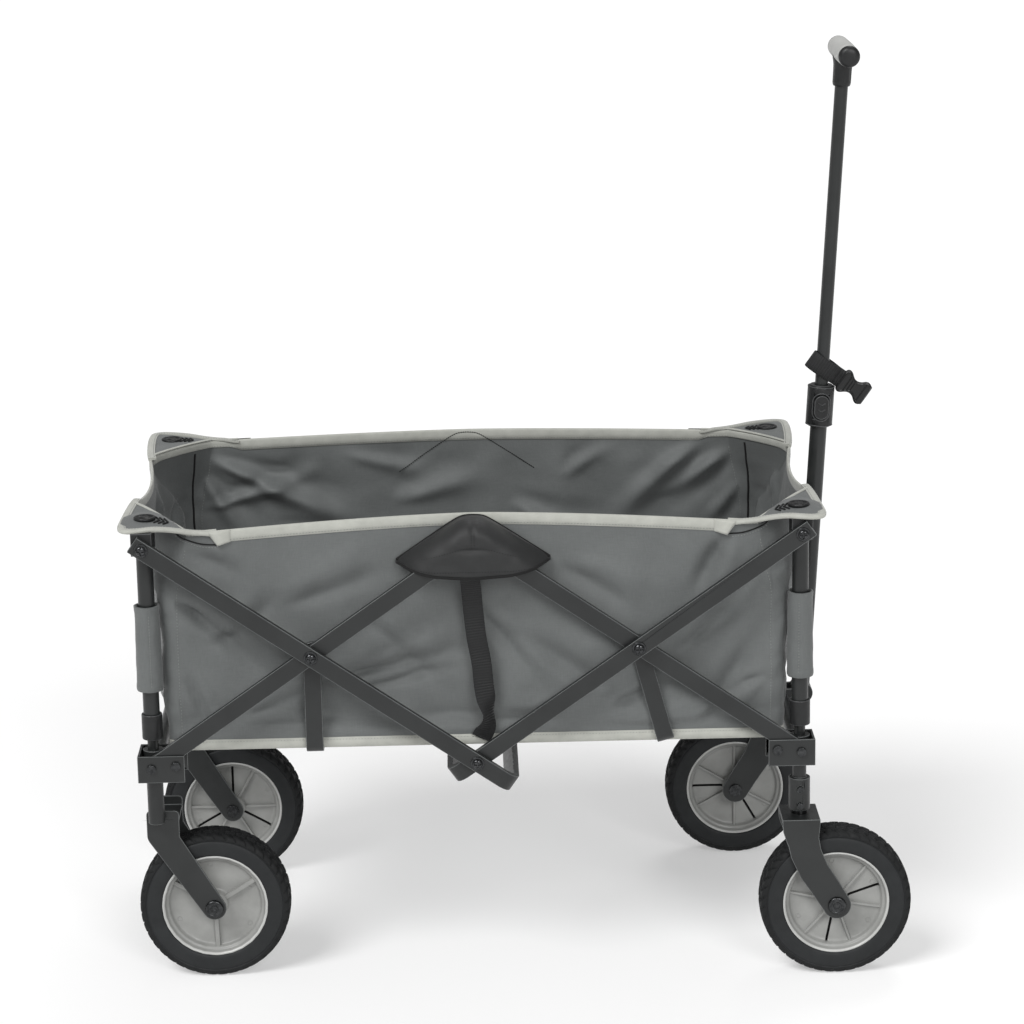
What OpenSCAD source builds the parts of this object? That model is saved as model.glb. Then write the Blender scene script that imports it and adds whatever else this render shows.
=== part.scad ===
// Folding utility wagon: scissor frame on four posts, swivel front wheels, fabric basket, pull handle.
// Forward is +X, up is +Z, and the ground is z = 0. The right side is -Y.

/* [Frame] */
// Distance from the middle to the post axes, along the wagon
half_base = 375; // [360:1:390]
// Distance from the middle plane to the post axes, across the wagon
half_track = 204; // [200:1:215]
// Height of the lower pivots
low_z = 278; // [276:1:281]
// Height of the upper pivots
high_z = 540; // [536:1:544]
// Outer diameter of the upper post tubes
post_d = 19; // [18:0.5:20]
// Outer diameter of the thin tubes that the posts slide on
inner_post_d = 13; // [12:0.5:14]

/* [Arms] */
// Height of the flat arm tubes
arm_h = 20; // [18:1:20]
// Thickness of the flat arm tubes
arm_t = 8; // [7:0.5:8]
// Wall of the arm tubes
arm_wall = 1.2; // [1:0.1:1.5]
// How far the rear outer arms run past the bottom centre pivot
rear_overrun = 48; // [40:1:52]
// How far the front outer arms run past the bottom centre pivot
front_overrun = 32; // [28:1:36]
// Lean of the front floor support, in degrees
support_lean = 15; // [0:1:15]

/* [Wheels] */
// Diameter of the tyres
wheel_d = 178; // [170:1:180]
// Width of the tyres
tyre_w = 42; // [38:1:44]
// Diameter of the rims, where the tyres sit
rim_d = 124.4; // [118:0.2:126]
// Distance of the fixed rear axles in front of the rear posts
rear_axle_set = 62; // [58:1:66]
// Distance of the rear wheels inside the post axes
rear_wheel_inset = 36; // [34:1:37]
// Caster trail: distance of the front axles from their swivels
trail = 42; // [38:1:46]
// Number of ribs in each rim
rib_count = 9; // [6:1:12]

/* [Basket] */
// Half length of the basket
basket_x = 355; // [345:1:356]
// Half width of the basket
basket_y = 203; // [196:1:203]
// Height of the underside of the basket
basket_low = 297; // [297:1:300]
// Height of the rim of the basket
basket_top = 563; // [556:1:563]
// How far the end walls lean out at the rim
end_flare = 43; // [30:1:43]
// Thickness of the fabric walls, with their lining
wall_t = 4; // [3:0.5:5]
// Thickness of the floor board
board_t = 8; // [6:1:10]

/* [Handle] */
// Lean of the upright handle towards the front, in degrees
handle_lean = 3.4; // [3.4:0.1:6]
// Length from the hinge to the bottom of the collar
collar_at = 332; // [320:1:340]
// Length from the hinge to the bottom of the grip's neck
neck_at = 739; // [720:1:760]
// Outer diameter of the lower handle tube
lower_tube_d = 20; // [19:0.5:21]
// Outer diameter of the upper handle tube
upper_tube_d = 15.5; // [15:0.5:16]
// Diameter of the grip
grip_d = 26; // [24:1:28]
// Length of the grip with its end caps
grip_len = 120; // [110:1:130]

/* [Hidden] */

$fn = 48;
frame_color = [0.24, 0.25, 0.25];
steel_color = [0.35, 0.36, 0.37];
black_color = [0.10, 0.10, 0.11];
tyre_color = [0.17, 0.18, 0.19];
rim_color = [0.62, 0.62, 0.61];
fabric_color = [0.42, 0.44, 0.44];
grip_color = [0.78, 0.78, 0.77];

// The origin is under the middle of the wagon's overall box.
wheel_r = wheel_d / 2;
ear_reach = 27;
front_reach = half_base + trail + wheel_r;
rear_reach = half_base + ear_reach;
mid_x = (rear_reach - front_reach) / 2;
rear_x = mid_x - half_base;
front_x = mid_x + half_base;

// Scissor linkage: both arms of a pair have the same half length, so the posts stay upright.
rise = high_z - low_z;
half_arm = norm([half_base, rise]) / 2;
arm_angle = atan2(rise, half_base);
cross_z = (low_z + high_z) / 2;
rear_cross_x = mid_x - half_base / 2;
front_cross_x = mid_x + half_base / 2;

// Arms lie side by side in three layers outside the posts; layer 1 is the outermost.
layer_pitch = 9;
layer_base = 17;
function layer_y(n) = half_track + layer_base + (3 - n) * layer_pitch;
rear_outer_layer = 1;
front_outer_layer = 2;
rear_inner_layer = 2;
front_inner_layer = 3;

// Bolts and clearances
bolt_r = 3;
bolt_hole_r = 3.3;
head_r = 5.5;
head_h = 3;
nut_h = 2.8;
skin_gap = 0.3;
elbow_r = 14;

// Floor supports
support_t = 5;
support_w = 20;
support_drop = 123;
support_y = half_track + 7.5;

// Lower corner brackets
bracket_low = 261;
bracket_h = 32;
bracket_out = 16;
bracket_in = 38;
bracket_t = 2.5;
core_r = 12;
bracket_inner_y = half_track - core_r;
stop_bolt_x = 28;
stop_bolt_z = 281;
stop_bolt_r = 2.6;

// Posts
post_r = post_d / 2;
inner_post_r = inner_post_d / 2;
post_low = 305;
post_top = 560;
inner_post_top = 505;
post_end_h = 30;
post_end_r = 12;

// Rear forks
leg_low = 201;
plate_t = 3;
fork_gap = 25;
fork_y = half_track - rear_wheel_inset;
fork_bend_z = 182;
boss_r = 14;
axle_r = 5;
axle_hole_r = 5.06;

// Casters
crown_z = 190;
crown_t = 5.7;
crown_w = 44;
socket_r = 12.5;
socket_top = 240;
socket_screw_z = [leg_low + 7, leg_low + 27];
socket_screw_r = 3.6;
socket_seat_y = socket_r - 0.8;
neck_r = 8;
stem_r = 6;
stem_hole_r = 6.06;
stem_top = 236;

// Cross tubes and handle hinge
cross_tube_r = 8;
cross_tube_z = 275;
cross_tube_in = 3;
hinge_x = front_x + 23;
hinge_z = 280;
hub_r = 13;
hub_half = 11;
yoke_t = 4;
pin_r = 4;
pin_hole_r = 4.06;
collar_h = 51;
collar_r = 16;
tube_bore_r = 8.2;
upper_start = 340;
neck_h = 26;
grip_at = neck_at + 40;

// Ears over the post tops, and the fabric sleeves round the posts
ear_side = 92;
ear_end = 94;
ear_out = 27;
ear_t = 3.5;
sleeve_low = 365;
sleeve_h = 100;
sleeve_r = 15;

module both_sides() {
    children();
    mirror([0, 1, 0]) children();
}

module along_y(r, from, to) {
    translate([0, to, 0]) rotate([90, 0, 0]) cylinder(r = r, h = to - from);
}

module tube(outer_r, bore_r, h) {
    difference() {
        cylinder(r = outer_r, h = h);
        translate([0, 0, -1]) cylinder(r = bore_r, h = h + 2);
    }
}

// A flat arm tube along +X from its first pivot, with solid ends and a hole at each pivot.
// A free arm has two round ends. An outer arm starts with a square end and runs on into its elbow.
module flat_arm(len, holes, free = true) {
    plug = 16;
    square_end = 12;
    difference() {
        union() {
            translate([0, -arm_t / 2, -arm_h / 2]) cube([len, arm_t, arm_h]);
            if (free) {
                along_y(arm_h / 2, -arm_t / 2, arm_t / 2);
                translate([len, 0, 0]) along_y(arm_h / 2, -arm_t / 2, arm_t / 2);
            } else {
                translate([-square_end, -arm_t / 2, -arm_h / 2]) cube([square_end + 1, arm_t, arm_h]);
            }
        }
        translate([plug, arm_wall - arm_t / 2, arm_wall - arm_h / 2])
            cube([len - 2 * plug, arm_t - 2 * arm_wall, arm_h - 2 * arm_wall]);
        for (x = holes) translate([x, 0, 0]) along_y(bolt_hole_r, -arm_t, arm_t);
    }
}

// A quarter bend of the flat tube, from +X round to +Y
module elbow() {
    translate([0, elbow_r, 0]) rotate([0, 0, -90])
        rotate_extrude(angle = 90) translate([elbow_r - arm_t / 2, -arm_h / 2]) square([arm_t, arm_h]);
}

// Bolt on the right side: head outside y = -outer, nut inside y = -inner
module bolt(outer, inner, r = bolt_r) {
    along_y(r, -outer - skin_gap, -inner + skin_gap);
    along_y(head_r, -outer - skin_gap - head_h, -outer - skin_gap);
    along_y(head_r - 0.5, -inner + skin_gap, -inner + skin_gap + nut_h);
}

module at(x, z) { translate([x, 0, z]) children(); }

/* ---- Chassis: brackets, thin post tubes, cross tubes ---- */

// Stamped bracket round the foot of a post. dir is 1 at the rear and -1 at the front.
module bracket(x, dir, plate_y) {
    out_x = x - dir * bracket_out;
    in_x = x + dir * bracket_in;
    low_x = min(out_x, in_x);
    len_x = bracket_out + bracket_in;
    plate_in = -plate_y;
    difference() {
        union() {
            translate([low_x, plate_in - bracket_t, bracket_low]) cube([len_x, bracket_t, bracket_h]);
            translate([low_x, -bracket_inner_y - 0.01, bracket_low]) cube([len_x, bracket_t, bracket_h]);
            translate([min(out_x, out_x + dir * bracket_t), plate_in - bracket_t, bracket_low])
                cube([bracket_t, plate_y - bracket_inner_y + 2 * bracket_t, bracket_h]);
            translate([x, -half_track, bracket_low + 1]) cylinder(r = core_r, h = bracket_h - 2);
        }
        translate([x, -half_track, bracket_low + 3]) cylinder(r = inner_post_r, h = bracket_h);
        at(x, low_z) along_y(bolt_r, -plate_y - 2 * bracket_t, -half_track - inner_post_r);
        at(x + dir * stop_bolt_x, stop_bolt_z) along_y(stop_bolt_r, -plate_y - 20, -bracket_inner_y + 20);
    }
}

function plate_y(layer) = layer_y(layer) + arm_t / 2 + 0.5;

module brackets(x, dir, layer) {
    both_sides() bracket(x, dir, plate_y(layer));
}

module inner_posts(x) {
    foot = bracket_low + 3;
    both_sides() translate([x, -half_track, foot]) tube(inner_post_r, inner_post_r - 1.2, inner_post_top - foot);
}

module bracket_bolts(x, dir, layer) {
    y = plate_y(layer) + bracket_t;
    both_sides() {
        at(x, low_z) {
            along_y(bolt_r, -y, -half_track - inner_post_r);
            along_y(head_r, -y - head_h, -y);
        }
        at(x + dir * stop_bolt_x, stop_bolt_z) {
            along_y(stop_bolt_r, -y, -bracket_inner_y + bracket_t);
            along_y(head_r, -y - head_h, -y);
            along_y(head_r - 0.5, -bracket_inner_y + bracket_t, -bracket_inner_y + bracket_t + nut_h);
        }
    }
}

module cross_tube(x) {
    end_y = bracket_inner_y - bracket_t;
    at(x, cross_tube_z) difference() {
        along_y(cross_tube_r, -end_y, end_y);
        along_y(cross_tube_r - 1.5, -end_y - 1, end_y + 1);
    }
}

module rear_cross_tube() { color(frame_color) cross_tube(rear_x + cross_tube_in); }
module rear_brackets() { color(frame_color) brackets(rear_x, 1, rear_inner_layer); }
module rear_inner_posts() { color(frame_color) inner_posts(rear_x); }
module rear_bolts() { color(black_color) bracket_bolts(rear_x, 1, rear_inner_layer); }
module front_cross_tube() { color(frame_color) cross_tube(front_x - cross_tube_in); }
module front_brackets() { color(frame_color) brackets(front_x, -1, front_inner_layer); }
module front_inner_posts() { color(frame_color) inner_posts(front_x); }

/* ---- Fixed rear forks ---- */

module rear_fork_plate() {
    top_w = 38;
    top_z = 212;
    corner = 5;
    difference() {
        offset(r = corner) offset(delta = -corner) {
            translate([-13, fork_bend_z - 4]) square([top_w, top_z - fork_bend_z + 4]);
            hull() {
                translate([4, fork_bend_z]) circle(r = 17);
                translate([rear_axle_set, wheel_r]) circle(r = boss_r);
            }
        }
        translate([rear_axle_set, wheel_r]) circle(r = axle_r);
    }
}

module rear_fork() {
    both_plates = [fork_gap, -fork_gap - plate_t];
    for (y = both_plates)
        translate([rear_x, -fork_y + y + plate_t, 0]) rotate([90, 0, 0])
            linear_extrude(plate_t) rear_fork_plate();
    translate([rear_x - 13, -fork_y - fork_gap, leg_low - 3]) cube([38, 2 * fork_gap, 3]);
    translate([rear_x, -half_track, leg_low]) tube(post_r, post_r - 1.5, bracket_low + 1 - leg_low);
}

module rear_forks() { color(frame_color) both_sides() rear_fork(); }

module axle(x, y) {
    half = fork_gap + plate_t;
    translate([x, y, wheel_r]) {
        along_y(axle_r, -half, half);
        along_y(8, half, half + 3);
        along_y(8, -half - 3, -half);
    }
}

module rear_axles() { color(steel_color) both_sides() axle(rear_x + rear_axle_set, -fork_y); }

/* ---- Wheels ---- */

module tyre(x, y) {
    shoulder = 5;
    half = tyre_w / 2;
    rim_r = rim_d / 2;
    color(tyre_color) translate([x, y, wheel_r]) rotate([90, 0, 0]) rotate_extrude($fn = 96)
        polygon([
            [rim_r, -half + 3], [rim_r + 3, -half], [wheel_r - 14, -half], [wheel_r - 3, -half + shoulder],
            [wheel_r, -half + 2 * shoulder], [wheel_r, half - 2 * shoulder],
            [wheel_r - 3, half - shoulder], [wheel_r - 14, half], [rim_r + 3, half], [rim_r, half - 3]
        ]);
}

module rim(x, y) {
    rim_r = rim_d / 2;
    ring_t = 5;
    hub_out = 14;
    half = tyre_w / 2 - 3;
    color(rim_color) translate([x, y, wheel_r]) rotate([90, 0, 0]) difference() {
        union() {
            translate([0, 0, -half]) tube(rim_r, rim_r - ring_t, 2 * half);
            translate([0, 0, -2.5]) cylinder(r = rim_r - 1, h = 5);
            translate([0, 0, -fork_gap + 1]) cylinder(r = hub_out, h = 2 * fork_gap - 2);
            for (i = [0 : rib_count - 1]) rotate(i * 360 / rib_count)
                translate([hub_out - 2, -1.25, -half + 4]) cube([rim_r - ring_t - hub_out + 4, 2.5, 2 * half - 8]);
        }
        translate([0, 0, -fork_gap - 1]) cylinder(r = axle_hole_r, h = 2 * fork_gap + 2);
    }
}

rear_axle_x = rear_x + rear_axle_set;
right_axle_x = front_x + trail;
left_axle_x = front_x - trail;
module rear_tyre_right() { tyre(rear_axle_x, -fork_y); }
module rear_tyre_left() { tyre(rear_axle_x, fork_y); }
module rear_rim_right() { rim(rear_axle_x, -fork_y); }
module rear_rim_left() { rim(rear_axle_x, fork_y); }
module front_tyre_right() { tyre(right_axle_x, -half_track); }
module front_tyre_left() { tyre(left_axle_x, half_track); }
module front_rim_right() { rim(right_axle_x, -half_track); }
module front_rim_left() { rim(left_axle_x, half_track); }

/* ---- Swivel casters: the right one trails forward, the left one inward ---- */

// Each entry of the bend is a round of the blade: its place and its radius.
module caster_plate() {
    bend = [[2, 171, 18.5], [5.5, 154, 18], [15, 132, 17.5], [30, 109, 17], [trail, wheel_r, 16.5]];
    difference() {
        union() {
            polygon([
                [-crown_w / 2, crown_z], [-crown_w / 2 + 1, crown_z - 10], [-16, 165],
                [20, 165], [crown_w / 2 - 1, crown_z - 10], [crown_w / 2, crown_z]
            ]);
            for (i = [1 : len(bend) - 1]) hull() for (c = [bend[i - 1], bend[i]])
                translate([c[0], c[1]]) circle(r = c[2]);
        }
        translate([trail, wheel_r]) circle(r = axle_r);
    }
}

// Fork for a caster at the right front corner, trailing along +X
module caster_fork() {
    half = fork_gap + plate_t;
    for (y = [fork_gap, -half])
        translate([0, y + plate_t, 0]) rotate([90, 0, 0]) linear_extrude(plate_t) caster_plate();
    difference() {
        translate([-crown_w / 2, -half, crown_z]) cube([crown_w, 2 * half, crown_t]);
        translate([0, 0, crown_z - 1]) cylinder(r = stem_r, h = crown_t + 2);
    }
}

module caster_stem() {
    translate([0, 0, crown_z - 3]) cylinder(r = stem_r, h = stem_top - crown_z + 3);
    translate([0, 0, crown_z + crown_t]) cylinder(r = 9, h = leg_low - crown_z - crown_t - skin_gap);
    translate([0, 0, crown_z - 5]) cylinder(r = 9, h = 5);
}

module right_front() { translate([front_x, -half_track, 0]) children(); }
module left_front() { translate([front_x, half_track, 0]) rotate([0, 0, 180]) children(); }
module caster_fork_right() { color(frame_color) right_front() caster_fork(); }
module caster_fork_left() { color(frame_color) left_front() caster_fork(); }
module caster_stem_right() { color(steel_color) right_front() caster_stem(); }
module caster_stem_left() { color(steel_color) left_front() caster_stem(); }
module caster_axle_right() { color(steel_color) right_front() axle(trail, 0); }
module caster_axle_left() { color(steel_color) left_front() axle(trail, 0); }

module caster_sockets() {
    color(frame_color) both_sides() translate([front_x, -half_track, 0]) difference() {
        union() {
            translate([0, 0, leg_low]) cylinder(r = socket_r, h = socket_top - leg_low);
            translate([0, 0, socket_top]) cylinder(r = neck_r, h = bracket_low + 1 - socket_top);
        }
        translate([0, 0, leg_low - 1]) cylinder(r = stem_hole_r, h = stem_top + 2 - leg_low);
        for (z = socket_screw_z) at(0, z) along_y(socket_screw_r + 0.3, -socket_r - 1, -socket_seat_y);
    }
}

module front_bolts() {
    screw_out = 2.5;
    color(black_color) {
        bracket_bolts(front_x, -1, front_inner_layer);
        both_sides() for (z = socket_screw_z)
            at(front_x, z) along_y(socket_screw_r, -half_track - socket_r - screw_out, -half_track - socket_seat_y);
    }
}

/* ---- Scissor arms ---- */

// Right rear inner arm: from the rear low pivot up to the top centre
module rear_inner_arms() {
    color(frame_color) both_sides()
        translate([rear_x, -layer_y(rear_inner_layer), low_z]) rotate([0, -arm_angle, 0])
            flat_arm(2 * half_arm, [0, half_arm, 2 * half_arm]);
}

module front_inner_arms() {
    color(frame_color) both_sides()
        translate([mid_x, -layer_y(front_inner_layer), high_z]) rotate([0, arm_angle, 0])
            flat_arm(2 * half_arm, [0, half_arm, 2 * half_arm]);
}

// Local frame of an outer arm: x runs from its top pivot down past the bottom centre, y inwards
module rear_outer_frame() {
    translate([rear_x, -layer_y(rear_outer_layer), high_z]) rotate([0, arm_angle, 0]) children();
}

module front_outer_frame() {
    translate([front_x, -layer_y(front_outer_layer), high_z]) rotate([0, 180 - arm_angle, 0]) children();
}

module outer_arm(overrun) {
    straight = 2 * half_arm + overrun - elbow_r;
    flat_arm(straight, [0, half_arm, 2 * half_arm], false);
    translate([straight, 0, 0]) elbow();
}

module outer_crossbar(overrun, layer) {
    span = 2 * (layer_y(layer) - elbow_r);
    translate([2 * half_arm + overrun, elbow_r, 0]) difference() {
        translate([-arm_t / 2, 0, -arm_h / 2]) cube([arm_t, span, arm_h]);
        translate([arm_wall - arm_t / 2, 4, arm_wall - arm_h / 2])
            cube([arm_t - 2 * arm_wall, span - 8, arm_h - 2 * arm_wall]);
    }
}

module rear_outer_arms() { color(frame_color) both_sides() rear_outer_frame() outer_arm(rear_overrun); }
module rear_outer_crossbar() {
    color(frame_color) rear_outer_frame() outer_crossbar(rear_overrun, rear_outer_layer);
}
module front_outer_arms() { color(frame_color) both_sides() front_outer_frame() outer_arm(front_overrun); }
module front_outer_crossbar() {
    color(frame_color) front_outer_frame() outer_crossbar(front_overrun, front_outer_layer);
}

/* ---- Pivot bolts ---- */

// Spacers fill the layers that a bolt crosses without an arm
module spacer(from_y, to_y) {
    along_y(7, -to_y + skin_gap, -from_y - skin_gap);
}

module rear_crossing_bolts() {
    outer = layer_y(rear_outer_layer) + arm_t / 2;
    color(black_color) both_sides() at(rear_cross_x, cross_z) {
        bolt(outer, support_y - support_t / 2);
        spacer(support_y + support_t / 2, layer_y(rear_inner_layer) - arm_t / 2);
    }
}

module front_crossing_bolts() {
    outer = layer_y(front_outer_layer) + arm_t / 2;
    color(black_color) both_sides() at(front_cross_x, cross_z) {
        bolt(outer, support_y - support_t / 2);
        spacer(support_y + support_t / 2, layer_y(front_inner_layer) - arm_t / 2);
    }
}

module top_centre_bolts() {
    outer = layer_y(rear_inner_layer) + arm_t / 2;
    inner = layer_y(front_inner_layer) - arm_t / 2;
    color(black_color) both_sides() at(mid_x, high_z) bolt(outer, inner);
}

module bottom_centre_bolts() {
    outer = layer_y(rear_outer_layer) + arm_t / 2;
    inner = layer_y(front_outer_layer) - arm_t / 2;
    color(black_color) both_sides() at(mid_x, low_z) bolt(outer, inner);
}

module top_bolts(x, layer) {
    face = half_track + post_r;
    outer = layer_y(layer) + arm_t / 2 + skin_gap;
    color(black_color) both_sides() at(x, high_z) {
        along_y(bolt_r, -outer, -face);
        along_y(head_r, -outer - head_h, -outer);
    }
}

module rear_top_bolts() { top_bolts(rear_x, rear_outer_layer); }
module front_top_bolts() { top_bolts(front_x, front_outer_layer); }

/* ---- Upper posts ---- */

module posts(x) {
    color(frame_color) both_sides()
        translate([x, -half_track, post_low + 2]) tube(post_r, post_r - 1, post_top - post_low - 2);
}

module post_ends(x) {
    color(black_color) both_sides() translate([x, -half_track, post_low]) difference() {
        cylinder(r = post_end_r, h = post_end_h);
        translate([0, 0, 2]) cylinder(r = post_r, h = post_end_h);
        translate([0, 0, -1]) cylinder(r = inner_post_r + skin_gap, h = 4);
    }
}

// Block on each post top that carries the outer arm
module top_brackets(x, layer) {
    block_x = 24;
    block_low = 531;
    block_top = 557.5;
    block_in = half_track - 12;
    block_out = layer_y(layer) - arm_t / 2 - skin_gap;
    color(black_color) both_sides() difference() {
        translate([x - block_x / 2, -block_out, block_low])
            cube([block_x, block_out - block_in, block_top - block_low]);
        translate([x, -half_track, block_low - 1]) cylinder(r = post_r, h = post_top + 1 - block_low);
        at(x, high_z) along_y(bolt_r, -block_out - 1, -half_track - post_r);
    }
}

// Fabric ear over a post top, and the fabric sleeve round the post. dir is 1 at the rear, -1 at the front.
module corner_covers(x, dir) {
    outer_x = x - dir * ear_reach;
    color(fabric_color) both_sides() {
        translate([0, 0, basket_top + skin_gap]) linear_extrude(ear_t) polygon([
            [outer_x, -half_track - ear_out], [x + dir * 14, -half_track - ear_out],
            [outer_x + dir * ear_side, -half_track], [outer_x, ear_end - half_track]
        ]);
        translate([x, -half_track, sleeve_low]) tube(sleeve_r, post_r + 1, sleeve_h);
    }
}

module rear_posts() { posts(rear_x); }
module front_posts() { posts(front_x); }
module rear_post_ends() { post_ends(rear_x); }
module front_post_ends() { post_ends(front_x); }
module rear_top_brackets() { top_brackets(rear_x, rear_outer_layer); }
module front_top_brackets() { top_brackets(front_x, front_outer_layer); }
module rear_corner_covers() { corner_covers(rear_x, 1); }
module front_corner_covers() { corner_covers(front_x, -1); }

/* ---- Floor supports: U frames that hang from the crossings and carry the floor ---- */

module floor_support(x, lean) {
    bend = 12;
    leg = support_drop - bend;
    span = 2 * (support_y - bend);
    color(frame_color) translate([x, 0, cross_z]) rotate([0, -lean, 0]) {
        both_sides() {
            difference() {
                union() {
                    translate([-support_w / 2, -support_y - support_t / 2, -leg])
                        cube([support_w, support_t, leg]);
                    translate([0, -support_y, 0]) along_y(support_w / 2, -support_t / 2, support_t / 2);
                }
                along_y(bolt_hole_r, -support_y - support_t, -support_y + support_t);
            }
            translate([support_w / 2, -support_y + bend, -leg]) rotate([0, -90, 0])
                rotate([0, 0, 180]) rotate_extrude(angle = 90)
                    translate([bend - support_t / 2, 0]) square([support_t, support_w]);
        }
        translate([-support_w / 2, -span / 2, -support_drop - support_t / 2])
            cube([support_w, span, support_t]);
    }
}

module rear_floor_support() { floor_support(rear_cross_x, 0); }
module front_floor_support() { floor_support(front_cross_x, support_lean); }

/* ---- Basket, floor board, flaps and straps ---- */

module basket() {
    flare_low = 470;
    flare_y = half_track - 16;
    color(fabric_color) translate([mid_x, 0, 0]) {
        difference() {
            translate([-basket_x, -basket_y, basket_low])
                cube([2 * basket_x, 2 * basket_y, basket_top - basket_low]);
            translate([wall_t - basket_x, wall_t - basket_y, basket_low + wall_t])
                cube([2 * (basket_x - wall_t), 2 * (basket_y - wall_t), basket_top]);
            translate([-2 * basket_x, -flare_y, flare_low + wall_t])
                cube([4 * basket_x, 2 * flare_y, basket_top]);
        }
        for (dir = [0, 1]) mirror([dir, 0, 0])
            translate([0, flare_y, 0]) rotate([90, 0, 0]) linear_extrude(2 * flare_y) polygon([
                [basket_x - wall_t, flare_low], [basket_x, flare_low],
                [basket_x + end_flare, basket_top], [basket_x + end_flare - wall_t, basket_top]
            ]);
    }
}

// Stiff board in four panels, with a fold between each two
module floor_board() {
    panels = 4;
    fold = 3;
    edge = 6;
    len = (2 * (basket_x - wall_t - edge) - (panels - 1) * fold) / panels;
    wide = 2 * (basket_y - wall_t - edge);
    color(black_color) for (i = [0 : panels - 1])
        translate([mid_x - basket_x + wall_t + edge + i * (len + fold), -wide / 2, basket_low + wall_t])
            cube([len, wide, board_t]);
}

// A black flap over each top centre pivot, with the webbing strap that hangs from it
module centre_straps() {
    flap_y = layer_y(rear_inner_layer) + arm_t / 2 + head_h + 1.2;
    flap_t = 2;
    flap_low = 503;
    flap_half = 88;
    strap_w = 22;
    strap_low = 303;
    strap_y = half_track + 6;
    color(black_color) translate([mid_x, 0, 0]) both_sides() {
        translate([0, -flap_y, 0]) rotate([90, 0, 0]) linear_extrude(flap_t) polygon([
            [-flap_half, flap_low + 8], [0, flap_low - 8], [flap_half, flap_low + 8],
            [34, basket_top - 2], [-34, basket_top - 2]
        ]);
        translate([-34, -flap_y - flap_t, basket_top + 0.5]) cube([68, flap_y + flap_t - basket_y + 6, flap_t]);
        translate([-34, -flap_y - flap_t, basket_top - 3]) cube([68, flap_t, 5]);
        translate([-strap_w / 2, -strap_y - 3, strap_low]) cube([strap_w, 3, flap_low + 10 - strap_low]);
        translate([-strap_w / 2, -flap_y, flap_low + 1]) cube([strap_w, flap_y - strap_y, 2]);
    }
}

/* ---- Pull handle ---- */

module handle_yoke() {
    low_x = front_x - cross_tube_in;
    color(frame_color) both_sides() difference() {
        union() {
            translate([low_x, -hub_half - 0.3 - yoke_t, cross_tube_z - 11])
                cube([hinge_x - low_x, yoke_t, 22]);
            at(hinge_x, hinge_z) along_y(hub_r, -hub_half - 0.3 - yoke_t, -hub_half - 0.3);
        }
        at(hinge_x, hinge_z) along_y(pin_r, -2 * hub_half, 0);
        at(low_x, cross_tube_z) along_y(cross_tube_r, -2 * hub_half, 0);
    }
}

module handle_pin() {
    half = hub_half + 0.3 + yoke_t;
    color(steel_color) at(hinge_x, hinge_z) {
        along_y(pin_r, -half, half);
        along_y(7, -half - 2.5, -half);
        along_y(7, half, half + 2.5);
    }
}

// Handle parts are built upright on the hinge, then leaned forward
module on_handle() {
    at(hinge_x, hinge_z) rotate([0, handle_lean, 0]) children();
}

module handle_lower_tube() {
    tube_from = 9;
    color(frame_color) on_handle() {
        difference() {
            union() {
                along_y(hub_r, -hub_half, hub_half);
                translate([0, 0, tube_from]) cylinder(r = lower_tube_d / 2, h = collar_at + collar_h - 4 - tube_from);
            }
            along_y(pin_hole_r, -hub_half - 1, hub_half + 1);
            translate([0, 0, hub_r + 6]) cylinder(r = tube_bore_r, h = collar_at + collar_h);
        }
    }
}

button_w = 17.4;
button_h = 29;
button_out = 18.5;
button_in = 13.6;
button_mid = collar_at + collar_h / 2;

module handle_collar() {
    slack = 0.4;
    color(black_color) on_handle() difference() {
        union() {
            translate([0, 0, collar_at + 4]) cylinder(r = collar_r, h = collar_h - 8);
            translate([0, 0, collar_at]) cylinder(r1 = collar_r - 3, r2 = collar_r, h = 4);
            translate([0, 0, collar_at + collar_h - 4]) cylinder(r1 = collar_r, r2 = collar_r - 3, h = 4);
        }
        translate([0, 0, collar_at - 1]) cylinder(r = lower_tube_d / 2, h = collar_h - 3);
        translate([0, 0, collar_at]) cylinder(r = tube_bore_r, h = collar_h + 2);
        translate([-button_w / 2 - slack, -collar_r - 1, button_mid - button_h / 2 - slack])
            cube([button_w + 2 * slack, collar_r + 1 - 10.4, button_h + 2 * slack]);
    }
}

module handle_button() {
    cap = button_w / 2;
    color(black_color) on_handle() {
        translate([-cap, -button_out, button_mid - button_h / 2 + cap])
            cube([button_w, button_out - button_in, button_h - button_w]);
        for (z = [button_mid - button_h / 2 + cap, button_mid + button_h / 2 - cap])
            translate([0, 0, z]) along_y(cap, -button_out, -button_in);
    }
}

module handle_upper_tube() {
    color(frame_color) on_handle() translate([0, 0, upper_start])
        tube(upper_tube_d / 2, upper_tube_d / 2 - 1.2, neck_at + neck_h / 2 - upper_start);
}

// Black core of the grip: neck, through bar and two domed ends
module handle_tee() {
    cap_len = 8;
    end_y = grip_len / 2;
    color(black_color) on_handle() difference() {
        union() {
            translate([0, 0, neck_at]) cylinder(r = 10.5, h = grip_at - neck_at);
            translate([0, 0, grip_at]) {
                along_y(8, -end_y + cap_len, end_y - cap_len);
                both_sides() intersection() {
                    along_y(grip_d / 2, -end_y, -end_y + cap_len);
                    translate([0, -end_y + 16, 0]) sphere(r = 17);
                }
            }
        }
        translate([0, 0, neck_at - 1]) cylinder(r = upper_tube_d / 2, h = neck_h / 2 + 1);
    }
}

module handle_grip() {
    half = grip_len / 2 - 8;
    color(grip_color) on_handle() difference() {
        translate([0, 0, grip_at]) along_y(grip_d / 2, -half, half);
        translate([0, 0, grip_at]) along_y(8, -half - 1, half + 1);
        translate([0, 0, neck_at]) cylinder(r = 10.5, h = grip_at - neck_at);
    }
}

// Webbing loop round the upper tube, tilted so that its tail hangs forward, and the buckle on the tail
strap_at = collar_at + collar_h + 21.5;
strap_tilt = 32;
strap_w = 22;
tail_out = 27;

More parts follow.
